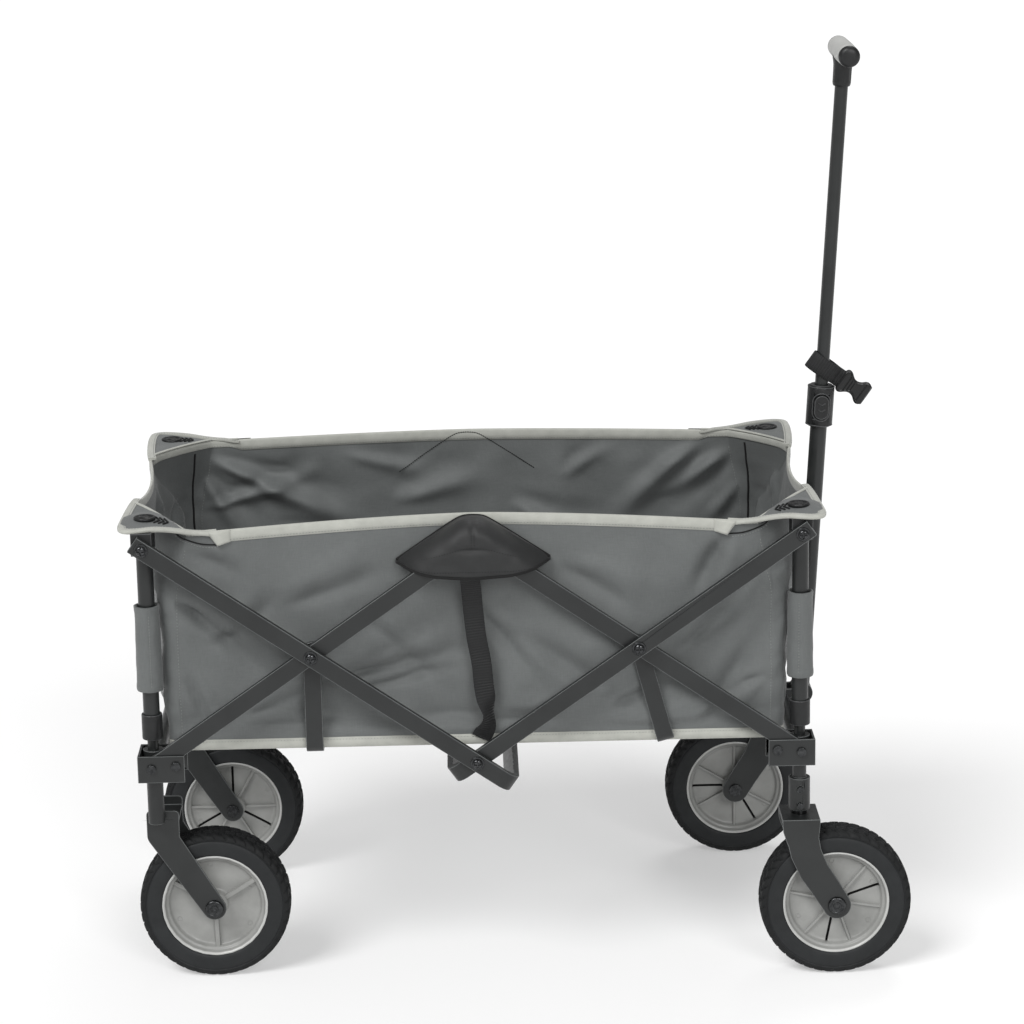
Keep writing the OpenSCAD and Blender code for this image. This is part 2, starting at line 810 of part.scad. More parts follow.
module on_strap() {
    on_handle() translate([0, 0, strap_at]) rotate([0, strap_tilt, 0]) children();
}

module handle_strap() {
    loop_r = 8.4;
    loop_x = 8.2;
    webbing_t = 2;
    color(black_color) on_strap() translate([0, 0, -strap_w / 2]) linear_extrude(strap_w) difference() {
        union() {
            hull() {
                for (x = [-loop_x, loop_x]) translate([x, 0]) circle(r = loop_r + webbing_t);
                translate([tail_out - 5, -1.5]) square([1, 3]);
            }
            translate([0, -1.5]) square([tail_out, 3]);
        }
        hull() for (x = [-loop_x, loop_x]) translate([x, 0]) circle(r = loop_r);
    }
}

// Socket half of a side-release buckle: waisted, and open at its free end
module strap_buckle() {
    outline = [
        [0, 11.5], [3, 15], [6.5, 15], [11, 11.5], [16, 8.5],
        [20, 8.5], [25, 11], [29.5, 14.5], [33, 14.5], [36.5, 12]
    ];
    back = [for (i = [1 : len(outline)]) outline[len(outline) - i]];
    thick = 9;
    color(black_color) on_strap() translate([tail_out, 0, 0]) difference() {
        translate([0, thick / 2, 0]) rotate([90, 0, 0]) linear_extrude(thick)
            polygon(concat(outline, [for (p = back) [p[0], -p[1]]]));
        translate([18, -2.2, -6.5]) cube([20, 4.4, 13]);
    }
}

rear_cross_tube();
rear_brackets();
rear_inner_posts();
rear_forks();
rear_axles();
rear_bolts();
rear_tyre_right();
rear_tyre_left();
rear_rim_right();
rear_rim_left();
caster_fork_right();
caster_fork_left();
caster_stem_right();
caster_stem_left();
caster_axle_right();
caster_axle_left();
front_tyre_right();
front_tyre_left();
front_rim_right();
front_rim_left();
front_cross_tube();
front_brackets();
front_inner_posts();
caster_sockets();
front_bolts();
handle_yoke();
handle_pin();
rear_inner_arms();
rear_outer_arms();
rear_outer_crossbar();
front_inner_arms();
front_outer_arms();
front_outer_crossbar();
rear_crossing_bolts();
front_crossing_bolts();
top_centre_bolts();
bottom_centre_bolts();
rear_top_bolts();
front_top_bolts();
rear_posts();
rear_post_ends();
rear_top_brackets();
rear_corner_covers();
front_posts();
front_post_ends();
front_top_brackets();
front_corner_covers();
rear_floor_support();
front_floor_support();
basket();
floor_board();
centre_straps();
handle_lower_tube();
handle_collar();
handle_button();
handle_upper_tube();
handle_tee();
handle_grip();
handle_strap();
strap_buckle();
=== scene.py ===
"""A folding wagon with a pull handle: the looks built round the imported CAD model.

Shapes are written in millimetres in the shared frame and turned into metres when a piece is made.
The near side, which the camera sees, is towards -Y. The front, with the handle, is towards +X.
"""

import math

import bpy
import numpy as np
from mathutils import Matrix, Vector, noise


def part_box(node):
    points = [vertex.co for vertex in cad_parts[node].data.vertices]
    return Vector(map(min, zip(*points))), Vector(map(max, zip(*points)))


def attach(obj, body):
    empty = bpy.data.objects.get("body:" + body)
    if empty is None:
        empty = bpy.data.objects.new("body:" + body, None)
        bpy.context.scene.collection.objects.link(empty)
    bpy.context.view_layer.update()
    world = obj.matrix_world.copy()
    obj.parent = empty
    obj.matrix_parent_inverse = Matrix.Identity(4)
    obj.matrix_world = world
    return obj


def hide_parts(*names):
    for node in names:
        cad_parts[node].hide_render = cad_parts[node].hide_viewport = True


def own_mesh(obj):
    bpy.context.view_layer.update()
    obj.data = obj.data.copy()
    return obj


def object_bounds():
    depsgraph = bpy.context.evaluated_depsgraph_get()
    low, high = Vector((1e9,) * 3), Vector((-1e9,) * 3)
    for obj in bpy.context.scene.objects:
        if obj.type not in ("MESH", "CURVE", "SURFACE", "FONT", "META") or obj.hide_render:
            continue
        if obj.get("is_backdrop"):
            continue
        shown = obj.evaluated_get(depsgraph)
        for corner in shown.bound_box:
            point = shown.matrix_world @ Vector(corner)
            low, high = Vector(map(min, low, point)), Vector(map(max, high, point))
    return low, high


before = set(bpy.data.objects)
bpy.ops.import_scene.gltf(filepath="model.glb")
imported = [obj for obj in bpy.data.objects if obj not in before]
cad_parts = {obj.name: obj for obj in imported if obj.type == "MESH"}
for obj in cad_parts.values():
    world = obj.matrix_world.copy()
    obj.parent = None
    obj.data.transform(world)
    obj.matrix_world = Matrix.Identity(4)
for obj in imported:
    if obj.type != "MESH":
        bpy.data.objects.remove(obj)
cad_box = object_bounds()

MM = 0.001
MID_X = -52.0
REAR_X = -427.0
FRONT_X = 323.0
HALF_TRACK = 204.0
WHEEL_R = 89.0
LOW_Z = 278.0
HIGH_Z = 540.0
CROSS_Z = 409.0
SIDES = (-1, 1)


# ---- Camera ----

def add_camera():
    yaw, pitch, roll = math.radians(-0.85), math.radians(14.65), math.radians(-1.04)
    forward = Vector((-math.sin(yaw) * math.cos(pitch), math.cos(yaw) * math.cos(pitch), -math.sin(pitch)))
    level = Vector((math.cos(yaw), math.sin(yaw), 0))
    upright = level.cross(forward)
    right = level * math.cos(roll) + upright * math.sin(roll)
    up = upright * math.cos(roll) - level * math.sin(roll)
    data = bpy.data.cameras.new("camera")
    data.sensor_width = 36
    data.lens = 114.1
    data.clip_end = 200
    data.dof.use_dof = False
    camera = bpy.data.objects.new("camera", data)
    bpy.context.scene.collection.objects.link(camera)
    place = Matrix((right, up, -forward)).transposed().to_4x4()
    place.translation = (-0.0596, -3.781, 1.501)
    camera.matrix_world = place
    bpy.context.scene.camera = camera


add_camera()


# ---- Mesh tools ----
# A part is (points, faces, corner UVs). Points are in millimetres and UVs in metres.

def grid(place, nu, nv, wrap=0.0):
    """Quads over place(i, j) -> (x, y, z, u, v).

    A wrap joins the last row to the first, and is the u there.
    """
    table = np.array([[place(i, j) for j in range(nv)] for i in range(nu)], float)
    points = table[:, :, :3].reshape(-1, 3)
    faces, uvs = [], []
    for i in range(nu if wrap else nu - 1):
        k = (i + 1) % nu
        extra = wrap if k == 0 else 0.0
        for j in range(nv - 1):
            faces.append((i * nv + j, k * nv + j, k * nv + j + 1, i * nv + j + 1))
            for a, b, add in ((i, j, 0), (k, j, extra), (k, j + 1, extra), (i, j + 1, 0)):
                uvs.append((table[a, b, 3] + add, table[a, b, 4]))
    return points, faces, uvs


def unit(v):
    length = np.linalg.norm(v)
    return v / length if length > 1e-9 else v


def lengths(path, closed=False):
    """How far along the path each point is."""
    path = np.asarray(path, float)
    steps = np.linalg.norm(np.diff(path, axis=0), axis=1)
    total = steps.sum() + (np.linalg.norm(path[0] - path[-1]) if closed else 0.0)
    return np.concatenate([[0.0], np.cumsum(steps)]), total


def spaced(path, step, closed=False):
    """The path again with points at equal steps."""
    path = np.asarray(path, float)
    if closed:
        path = np.vstack([path, path[:1]])
    along, total = lengths(path)
    count = max(2, int(round(total / step)))
    want = np.linspace(0, total, count + 1)
    if closed:
        want = want[:-1]
    return np.stack([np.interp(want, along, path[:, k]) for k in range(3)], axis=1)


def curve(points, per=8, closed=False):
    """A smooth line through the points."""
    p = [np.asarray(q, float) for q in points]
    n = len(p)
    out = []
    for i in range(n if closed else n - 1):
        if closed:
            a, b, c, d = p[i - 1], p[i], p[(i + 1) % n], p[(i + 2) % n]
        else:
            a, b, c, d = p[max(i - 1, 0)], p[i], p[i + 1], p[min(i + 2, n - 1)]
        for k in range(per):
            t = k / per
            out.append(0.5 * (2 * b + (c - a) * t + (2 * a - 5 * b + 4 * c - d) * t * t
                              + (3 * b - a - 3 * c + d) * t ** 3))
    if not closed:
        out.append(p[-1])
    return np.array(out)


def tangents(path, closed=False):
    path = np.asarray(path, float)
    if closed:
        return np.array([unit(path[(i + 1) % len(path)] - path[i - 1]) for i in range(len(path))])
    return np.array([unit(path[min(i + 1, len(path) - 1)] - path[max(i - 1, 0)]) for i in range(len(path))])


def level_normals(ways):
    """The level direction square to each direction."""
    return np.array([unit(np.array((w[1], -w[0], 0.0))) for w in ways])


def sweep(path, section, up=(0, 0, 1), closed=False):
    """A closed section of (side, up) offsets carried along the path.

    up is one direction, or one for each point.
    """
    path = np.asarray(path, float)
    count = len(path)
    ups = np.asarray(up, float)
    if ups.ndim == 1:
        ups = np.tile(ups, (count, 1))
    ways = tangents(path, closed)
    along, total = lengths(path, closed)
    ring = np.vstack([section, section[:1]])
    around, _ = lengths(np.hstack([ring, np.zeros((len(ring), 1))]))
    size = len(section)
    points = np.zeros((count, size, 3))
    for i in range(count):
        side = unit(np.cross(ways[i], ups[i]))
        high = np.cross(side, ways[i])
        points[i] = path[i] + np.outer(section[:, 0], side) + np.outer(section[:, 1], high)
    faces, uvs = [], []
    for i in range(count if closed else count - 1):
        k = (i + 1) % count
        u0, u1 = along[i] * MM, (along[k] if k else total) * MM
        for j in range(size):
            m = (j + 1) % size
            faces.append((i * size + j, k * size + j, k * size + m, i * size + m))
            v0, v1 = around[j] * MM, around[j + 1] * MM
            uvs += [(u0, v0), (u1, v0), (u1, v1), (u0, v1)]
    if not closed:
        first = tuple(range(size))
        last = tuple(range((count - 1) * size, count * size))[::-1]
        faces += [first, last]
        uvs += [(s[0] * MM, s[1] * MM) for s in section] + [(s[0] * MM, s[1] * MM) for s in section[::-1]]
    return points.reshape(-1, 3), faces, uvs


def oval(a, b, n=8):
    """A round or oval section."""
    turns = np.arange(n) * 2 * math.pi / n
    return np.stack([a * np.cos(turns), b * np.sin(turns)], axis=1)


def flat_section(width, thick, soft=0.45):
    """A flat strip's section, width along the side direction, with rounded edges."""
    w, t = width / 2, thick / 2
    r = min(soft * thick, t)
    return np.array([(-w, -t + r), (-w + r, -t), (-w / 3, -t), (w / 3, -t), (w - r, -t), (w, -t + r),
                     (w, t - r), (w - r, t), (w / 3, t), (-w / 3, t), (-w + r, t), (-w, t - r)])


def lathe(profile, n=48, axis="z"):
    """The profile of (radius, height) turned about the origin's axis."""
    turn = 2 * math.pi / n
    run, _ = lengths([(r, h, 0) for r, h in profile])
    reach = max(r for r, _ in profile)

    def place(i, j):
        r, h = profile[j]
        a, b = r * math.cos(i * turn), r * math.sin(i * turn)
        spot = {"z": (a, b, h), "y": (a, h, b), "-y": (a, -h, -b)}[axis]
        return (*spot, i * turn * reach * MM, run[j] * MM)

    return grid(place, n, len(profile), 2 * math.pi * reach * MM)


def moved(part, matrix):
    points, faces, uvs = part
    turned = np.array([matrix @ Vector(p) for p in points])
    if matrix.determinant() < 0:
        corners, start, flipped, spots = [], 0, [], list(uvs)
        for face in faces:
            flipped.append(tuple(reversed(face)))
            corners += spots[start:start + len(face)][::-1]
            start += len(face)
        return turned, flipped, corners
    return turned, faces, uvs


def mirrored(part, axis=1):
    """The part on the other side of the wagon."""
    scale = [1, 1, 1]
    scale[axis] = -1
    return moved(part, Matrix.Diagonal((*scale, 1)))


def stitches(path, out, pitch=3.4, size=(1.15, 0.35, 0.3)):
    """A row of small raised stitches along the path.

    out is the cloth's outward direction: one, or one for each point.
    """
    path = np.asarray(path, float)
    out = np.asarray(out, float)
    if out.ndim == 1:
        out = np.tile(out, (len(path), 1))
    along, total = lengths(path)
    count = int(total / pitch)
    points, faces, uvs = [], [], []
    for n in range(count):
        want = (n + 0.5) * pitch
        i = min(int(np.searchsorted(along, want)), len(path) - 1)
        way = unit(path[i] - path[i - 1])
        spot = np.array([np.interp(want, along, path[:, k]) for k in range(3)])
        high = unit(out[i])
        side = unit(np.cross(way, high))
        start = len(points)
        points += [spot - way * size[0], spot + side * size[1], spot + way * size[0], spot - side * size[1],
                   spot + high * size[2], spot - high * size[2]]
        for a, b in ((0, 1), (1, 2), (2, 3), (3, 0)):
            faces += [(start + a, start + b, start + 4), (start + b, start + a, start + 5)]
            uvs += [(0, 0), (0.001, 0), (0, 0.001)] * 2
    return np.array(points), faces, uvs


class Shape:
    """Parts gathered into one mesh, each with the number of its material."""

    def __init__(self):
        self.points, self.faces, self.uvs, self.numbers = [], [], [], []

    def add(self, part, number=0, matrix=None):
        points, faces, uvs = moved(part, matrix) if matrix is not None else part
        start = sum(len(p) for p in self.points)
        self.points.append(np.asarray(points, float))
        self.faces += [tuple(i + start for i in f) for f in faces]
        self.uvs += list(uvs)
        self.numbers += [number] * len(faces)
        return self

    def both(self, part, number=0):
        """The part on the near side and its mirror on the far side."""
        return self.add(part, number).add(mirrored(part), number)


def piece(name, shape, materials, body, smooth=45):
    """One object from a shape, riding on a body. Edges sharper than smooth degrees stay sharp."""
    mesh = bpy.data.meshes.new(name)
    mesh.from_pydata((np.vstack(shape.points) * MM).tolist(), [], shape.faces)
    layer = mesh.uv_layers.new(name="cloth")
    layer.data.foreach_set("uv", np.array(shape.uvs, np.float32).ravel())
    for m in materials:
        mesh.materials.append(m)
    mesh.polygons.foreach_set("material_index", shape.numbers)
    mesh.validate()
    mesh.shade_smooth()
    if smooth < 180:
        mesh.set_sharp_from_angle(angle=math.radians(smooth))
    thing = bpy.data.objects.new(name, mesh)
    bpy.context.scene.collection.objects.link(thing)
    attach(thing, body)
    return thing


def thicken(thing, thickness, offset=-1.0):
    """Gives a sheet its thickness, in millimetres: inwards from its surface, or about it if offset is 0."""
    skin = thing.modifiers.new("skin", "SOLIDIFY")
    skin.thickness = thickness * MM
    skin.offset = offset


def smoothstep(x, low=0.0, high=1.0):
    t = min(max((x - low) / (high - low), 0.0), 1.0)
    return t * t * (3 - 2 * t)


def mix(a, b, t):
    return a + (b - a) * t


def bump_at(x, centre, width):
    """A smooth hill of height 1 round the centre."""
    return math.exp(-((x - centre) / width) ** 2)


def tri(x):
    """A zigzag from -1 to 1 with period 1."""
    return 4 * abs(x - math.floor(x + 0.5)) - 1


def wobble(x, y, z, scale, seed=0.0):
    return noise.noise(Vector((x / scale + seed, y / scale - seed, z / scale + 2.3 * seed)))


# ---- Materials ----

def add_node(tree, kind, wires=None, **values):
    """A shader node. Values set its properties or, where it has no such property, its input sockets."""
    n = tree.nodes.new("ShaderNode" + kind)
    for key, value in values.items():
        if hasattr(n, key):
            setattr(n, key, value)
        else:
            n.inputs[key.replace("_", " ")].default_value = value
    for socket, source in (wires or {}).items():
        tree.links.new(source, n.inputs[socket])
    return n


class Finish:
    """A Principled material whose colour, roughness and bump come from procedural textures."""

    def __init__(self, name, coords="Object", **sockets):
        self.material = bpy.data.materials.new(name)
        self.material.use_nodes = True
        self.tree = self.material.node_tree
        self.bsdf = self.tree.nodes["Principled BSDF"]
        for key, value in sockets.items():
            self.bsdf.inputs[key.replace("_", " ")].default_value = value
        self.coords = add_node(self.tree, "TexCoord").outputs[coords]
        self.height = []

    def wire(self, source, socket):
        self.tree.links.new(source, self.bsdf.inputs[socket])

    def noise(self, scale, detail=3.0, rough=0.55, stretch=None):
        coords = self.coords
        if stretch:
            coords = add_node(self.tree, "Mapping", {"Vector": coords}, Scale=stretch).outputs[0]
        return add_node(self.tree, "TexNoise", {"Vector": coords}, Scale=scale, Detail=detail,
                        Roughness=rough).outputs[0]

    def ramp(self, source, *stops):
        """Colours picked from the source's value. A stop is (place, colour)."""
        n = add_node(self.tree, "ValToRGB", {"Fac": source})
        ends = n.color_ramp.elements
        while len(ends) < len(stops):
            ends.new(0.5)
        for end, (place, colour) in zip(ends, stops):
            end.position = place
            end.color = (*colour, 1)
        return n.outputs[0]

    def blend(self, kind, amount, a, b):
        """Two colours joined. amount is a number or a source."""
        n = add_node(self.tree, "Mix", data_type="RGBA", blend_type=kind)
        for socket, value in ((n.inputs[0], amount), (n.inputs[6], a), (n.inputs[7], b)):
            if isinstance(value, bpy.types.NodeSocket):
                self.tree.links.new(value, socket)
            else:
                socket.default_value = value if isinstance(value, float) else (*value, 1)
        return n.outputs[2]

    def math(self, kind, a, b):
        n = add_node(self.tree, "Math", operation=kind)
        for socket, value in zip(n.inputs, (a, b)):
            if isinstance(value, bpy.types.NodeSocket):
                self.tree.links.new(value, socket)
            else:
                socket.default_value = value
        return n.outputs[0]

    def roughness(self, source, low, high):
        n = add_node(self.tree, "MapRange", {"Value": source}, From_Min=0.3, From_Max=0.7,
                     To_Min=low, To_Max=high)
        self.wire(n.outputs[0], "Roughness")

    def bump(self, source, distance, strength=1.0):
        """Raises the surface by up to distance metres where the source is high. Calls add up."""
        wires = {"Height": source}
        if self.height:
            wires["Normal"] = self.height[-1]
        n = add_node(self.tree, "Bump", wires, Distance=distance, Strength=strength)
        self.height.append(n.outputs[0])
        self.wire(n.outputs[0], "Normal")

    def bands(self, direction, period, distort=0.0):
        """Waves across the coordinates' X or Y, with a period in metres."""
        return add_node(self.tree, "TexWave", {"Vector": self.coords}, wave_type="BANDS",
                        bands_direction=direction, Scale=0.314159 / period, Distortion=distort,
                        Detail=1.0).outputs[1]


def painted(name, dark, light, low, high):
    """Powder coat: a fine orange-peel texture with slight clouds in colour and gloss."""
    f = Finish(name, Specular_IOR_Level=0.42)
    cloud = f.noise(22, 4)
    f.wire(f.ramp(cloud, (0.3, dark), (0.72, light)), "Base Color")
    f.roughness(f.noise(160, 3), low, high)
    f.bump(f.noise(900, 2), 0.00012, 0.35)
    return f.material


def moulded(name, dark, light, low, high, grain=1300, depth=0.0001):
    """Moulded plastic with a fine spark texture."""
    f = Finish(name, Specular_IOR_Level=0.4)
    f.wire(f.ramp(f.noise(35, 5), (0.3, dark), (0.7, light)), "Base Color")
    f.roughness(f.noise(240, 4), low, high)
    f.bump(f.noise(grain, 3), depth, 0.4)
    return f.material


def metal(name, dark, light, low, high):
    f = Finish(name, Metallic=1.0)
    brushed = f.noise(260, 4, stretch=(1, 6, 1))
    f.wire(f.ramp(brushed, (0.3, dark), (0.7, light)), "Base Color")
    f.roughness(f.noise(500, 3), low, high)
    f.bump(brushed, 0.00005, 0.3)
    return f.material


def woven(name, dark, light, thread=0.0011, sheen=0.25, depth=0.00022, rough=(0.72, 0.9)):
    """Plain-weave polyester: threads both ways, slubs in their colour, faint creasing and a low sheen."""
    f = Finish(name, "UV", Sheen_Weight=sheen, Sheen_Roughness=0.45, Specular_IOR_Level=0.35)
    warp = f.bands("X", thread, 0.6)
    weft = f.bands("Y", thread, 0.6)
    weave = f.math("MAXIMUM", warp, weft)
    cloud = f.noise(9, 5, 0.6)
    slub = f.math("ADD", f.noise(900, 2, stretch=(1, 0.08, 1)), f.noise(900, 2, stretch=(0.08, 1, 1)))
    colour = f.ramp(cloud, (0.32, dark), (0.68, light))
    threads = f.ramp(f.math("MULTIPLY", slub, 0.5), (0.36, (0.86, 0.86, 0.86)), (0.64, (1.0, 1.0, 1.0)))
    # The gaps between the threads are darkened: painted shade.
    gap_shade = f.ramp(weave, (0.25, (0.72, 0.72, 0.72)), (0.8, (1.0, 1.0, 1.0)))
    f.wire(f.blend("MULTIPLY", 1.0, f.blend("MULTIPLY", 1.0, colour, threads), gap_shade), "Base Color")
    f.roughness(cloud, *rough)
    f.bump(f.noise(70, 4), 0.0006, 0.35)
    f.bump(weave, depth, 0.5)
    return f.material


def ribbed_tape(name, dark, light, period, depth, sheen=0.3, direction="X"):
    """Woven tape with ribs across its length."""
    f = Finish(name, "UV", Sheen_Weight=sheen, Sheen_Roughness=0.4, Specular_IOR_Level=0.35)
    ribs = f.bands(direction, period, 0.25)
    fine = f.bands("Y" if direction == "X" else "X", period * 0.6, 0.4)
    cloud = f.noise(60, 4)
    colour = f.ramp(cloud, (0.3, dark), (0.7, light))
    shade = f.ramp(ribs, (0.1, (0.78, 0.78, 0.78)), (0.75, (1.0, 1.0, 1.0)))
    f.wire(f.blend("MULTIPLY", 1.0, colour, shade), "Base Color")
    f.roughness(cloud, 0.62, 0.85)
    f.bump(fine, depth * 0.4, 0.4)
    f.bump(ribs, depth, 0.7)
    return f.material


def rubber(name, dark, light, low, high):
    """Tyre rubber with a dry bloom and a fine mould grain."""
    f = Finish(name, Specular_IOR_Level=0.25)
    bloom = f.noise(18, 6, 0.65)
    f.wire(f.ramp(bloom, (0.3, dark), (0.7, light)), "Base Color")
    f.roughness(f.noise(90, 4), low, high)
    f.bump(f.noise(1500, 2), 0.0001, 0.4)
    return f.material


PAINT = painted("frame_paint_look", (0.011, 0.012, 0.012), (0.017, 0.0185, 0.0185), 0.3, 0.42)
# Lighter paint for the frame's bevelled edges: a painted highlight.
PAINT_EDGE_HIGHLIGHT = painted("frame_edge_highlight_look", (0.075, 0.08, 0.08), (0.12, 0.126, 0.126), 0.22, 0.34)
BLACK = moulded("plastic_black_look", (0.0055, 0.0058, 0.006), (0.01, 0.0105, 0.011), 0.36, 0.5)
GLOSS_BLACK = moulded("buckle_black_look", (0.003, 0.0032, 0.0033), (0.006, 0.0063, 0.0066), 0.2, 0.3)
# Lighter grey plastic for the bevels, raised marks, rings and piping on black parts: a painted highlight on
# those edges.
BLACK_EDGE_HIGHLIGHT = moulded("plastic_edge_highlight_look", (0.0374, 0.0382, 0.0391), (0.0578, 0.0595, 0.0612), 0.3, 0.42)
BOLT = metal("bolt_black_look", (0.03, 0.031, 0.032), (0.07, 0.072, 0.074), 0.2, 0.34)
TYRE = rubber("tyre_look", (0.0115, 0.0125, 0.0132), (0.018, 0.0195, 0.0205), 0.5, 0.66)
TREAD = rubber("tread_look", (0.0055, 0.006, 0.0063), (0.0105, 0.0112, 0.0118), 0.6, 0.8)
RIM = moulded("rim_look", (0.215, 0.217, 0.208), (0.27, 0.272, 0.262), 0.3, 0.44, 700, 0.00015)
# Lighter grey for the rim's outer lip: a painted highlight.
RIM_LIP_HIGHLIGHT = moulded("rim_lip_highlight_look", (0.38, 0.382, 0.37), (0.46, 0.462, 0.45), 0.26, 0.38, 900)
# Near black for the slots in the rim's disc: painted shade in them.
RIM_SLOT_SHADE = moulded("rim_slot_shade_look", (0.008, 0.008, 0.008), (0.014, 0.014, 0.014), 0.6, 0.8)
FABRIC = woven("fabric_grey_look", (0.112, 0.119, 0.118), (0.135, 0.143, 0.142), sheen=0.16,
               rough=(0.5, 0.66))
FLAP = woven("fabric_black_look", (0.016, 0.0165, 0.0168), (0.022, 0.0227, 0.023), sheen=0.05,
             rough=(0.42, 0.6))
BINDING = ribbed_tape("binding_look", (0.38, 0.385, 0.35), (0.46, 0.465, 0.425), 0.0011, 0.00018)
WEBBING = ribbed_tape("webbing_look", (0.008, 0.0083, 0.0086), (0.014, 0.0145, 0.015), 0.0032, 0.0005,
                      sheen=0.12)
THREAD = woven("thread_look", (0.2, 0.21, 0.2), (0.3, 0.31, 0.3), thread=0.0006)
DARK_THREAD = woven("dark_thread_look", (0.003, 0.003, 0.003), (0.006, 0.006, 0.006), thread=0.0006,
                    sheen=0.05)
GRIP = moulded("grip_look", (0.4, 0.402, 0.39), (0.47, 0.472, 0.458), 0.5, 0.66, 1600, 0.0002)
BOARD = woven("board_look", (0.012, 0.0125, 0.013), (0.018, 0.0188, 0.0194), thread=0.0014, sheen=0.12)


# ---- CAD nodes that stay: bevelled edges and painted, moulded or plated finishes ----

def finish_node(name, body_look, edge_look, width=0.7):
    """Rounds a CAD node's edges with modifiers and gives it a finish, with the edge look on the bevels: a
    lighter painted highlight on paint and plastic.
    """
    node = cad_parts[name]
    node.data.materials.clear()
    node.data.materials.append(body_look)
    node.data.materials.append(edge_look)
    weld = node.modifiers.new("weld", "WELD")
    weld.merge_threshold = 0.00002
    flat = node.modifiers.new("flat", "DECIMATE")
    flat.decimate_type = "DISSOLVE"
    flat.angle_limit = math.radians(0.4)
    bevel = node.modifiers.new("bevel", "BEVEL")
    bevel.width = width * MM
    bevel.segments = 2
    bevel.limit_method = "ANGLE"
    bevel.angle_limit = math.radians(38)
    # The bevels take the edge look, which on paint and plastic is a painted highlight.
    bevel.material = 1
    bevel.harden_normals = True
    bevel.use_clamp_overlap = False
    smooth = node.modifiers.new("normals", "WEIGHTED_NORMAL")
    smooth.keep_sharp = False
    smooth.mode = "FACE_AREA_WITH_ANGLE"


PAINTED = (
    "rear_cross_tube rear_brackets rear_inner_posts rear_forks caster_fork_right caster_fork_left "
    "front_cross_tube front_brackets front_inner_posts caster_sockets handle_yoke rear_inner_arms "
    "rear_outer_arms rear_outer_crossbar front_inner_arms front_outer_arms front_outer_crossbar "
    "rear_posts front_posts rear_floor_support front_floor_support handle_lower_tube handle_upper_tube"
).split()
MOULDED = (
    "rear_post_ends front_post_ends rear_top_brackets front_top_brackets handle_collar handle_button"
).split()
BOLTED = (
    "rear_bolts front_bolts rear_crossing_bolts front_crossing_bolts top_centre_bolts bottom_centre_bolts "
    "rear_top_bolts front_top_bolts handle_pin rear_axles caster_axle_right caster_axle_left "
    "caster_stem_right caster_stem_left"
).split()
for node_name in PAINTED:
    finish_node(node_name, PAINT, PAINT_EDGE_HIGHLIGHT)
for node_name in MOULDED:
    finish_node(node_name, BLACK, BLACK_EDGE_HIGHLIGHT, 0.9)
for node_name in BOLTED:
    finish_node(node_name, BOLT, BOLT, 0.4)


# ---- Wheels ----

def middle(node):
    """The middle of a CAD node's box, in millimetres."""
    low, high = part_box(node)
    return (low + high) / 2 / MM


LUGS = 42
LUG_STEPS = 11
TREAD_FROM = 81.2
TYRE_PROFILE = [
    (-16.0, 61.6), (-18.6, 62.2), (-19.9, 63.6), (-20.6, 66.0), (-20.9, 70.0), (-20.8, 75.0), (-20.5, 78.8),
    (-19.9, 79.9), (-19.3, 80.5), (-19.6, 81.2), (-20.2, 82.0), (-20.1, 83.4), (-19.6, 85.0), (-18.8, 86.4),
    (-17.6, 87.4), (-16.0, 88.0), (-14.2, 88.3), (-12.4, 88.5), (-10.6, 88.7), (-8.8, 88.8), (-7.0, 88.9),
    (-5.4, 88.9), (-3.8, 89.0), (-2.2, 89.0), (-0.8, 89.0)
]
TYRE_PROFILE += [(-w, r) for w, r in TYRE_PROFILE[::-1]]


def tyre_part():
    """A tyre about the Y axis: flat sidewalls, a ring groove, and zigzag lugs across the tread."""
    steps = LUGS * LUG_STEPS
    run, _ = lengths([(w, r, 0) for w, r in TYRE_PROFILE])

    def depth(turn, w, r):
        """How deep the tread is cut there."""
        if r < 81.5:
            return 0.0
        shoulder = smoothstep(r, 81.5, 86.5)
        across = abs(w)
        lug = turn * LUGS + 0.33 * tri(across / 13.0) + (0.5 if w > 0 else 0.0)
        lug -= math.floor(lug)
        gap = 1 - smoothstep(abs(lug - 0.5), 0.1, 0.2)
        zig = 6.2 + 1.9 * tri(turn * LUGS + (0.25 if w > 0 else 0.75))
        line = 1 - smoothstep(abs(across - zig), 0.5, 1.5)
        middle_line = 1 - smoothstep(abs(w + 1.6 * tri(turn * LUGS)), 0.3, 1.3)
        return 2.8 * shoulder * max(gap, 0.8 * line * (across < 12), 0.7 * middle_line)

    def place(i, j):
        w, r = TYRE_PROFILE[j]
        turn = i / steps
        cut = r - depth(turn, w, r)
        angle = 2 * math.pi * turn
        return (cut * math.cos(angle), w, cut * math.sin(angle), angle * WHEEL_R * MM, run[j] * MM)

    return grid(place, steps, len(TYRE_PROFILE), 2 * math.pi * WHEEL_R * MM)


RIM_PROFILE = [
    (5.2, 23.6), (7.6, 23.8), (8.4, 23.2), (8.9, 21.0), (9.2, 16.6), (10.0, 15.9), (13.0, 15.6), (14.2, 15.0),
    (14.9, 13.6), (15.4, 8.6), (16.6, 7.0), (18.5, 6.4), (26.0, 6.2), (34.0, 6.1), (42.0, 6.1), (49.0, 6.2),
    (52.4, 6.6), (54.0, 8.2), (54.8, 11.4), (55.6, 12.4), (57.4, 12.8), (58.2, 13.6), (59.4, 17.2),
    (60.1, 18.5), (61.2, 19.0), (62.4, 18.6), (62.9, 17.4), (63.0, 0.0)
]
DISC_FROM, DISC_TO = 15.0, 54.5
MOULD_MARK = [(3.0, 0.0), (3.0, 0.5), (2.5, 0.6), (2.3, 0.2), (0.01, 0.15)]
MARK_RING = 48.0


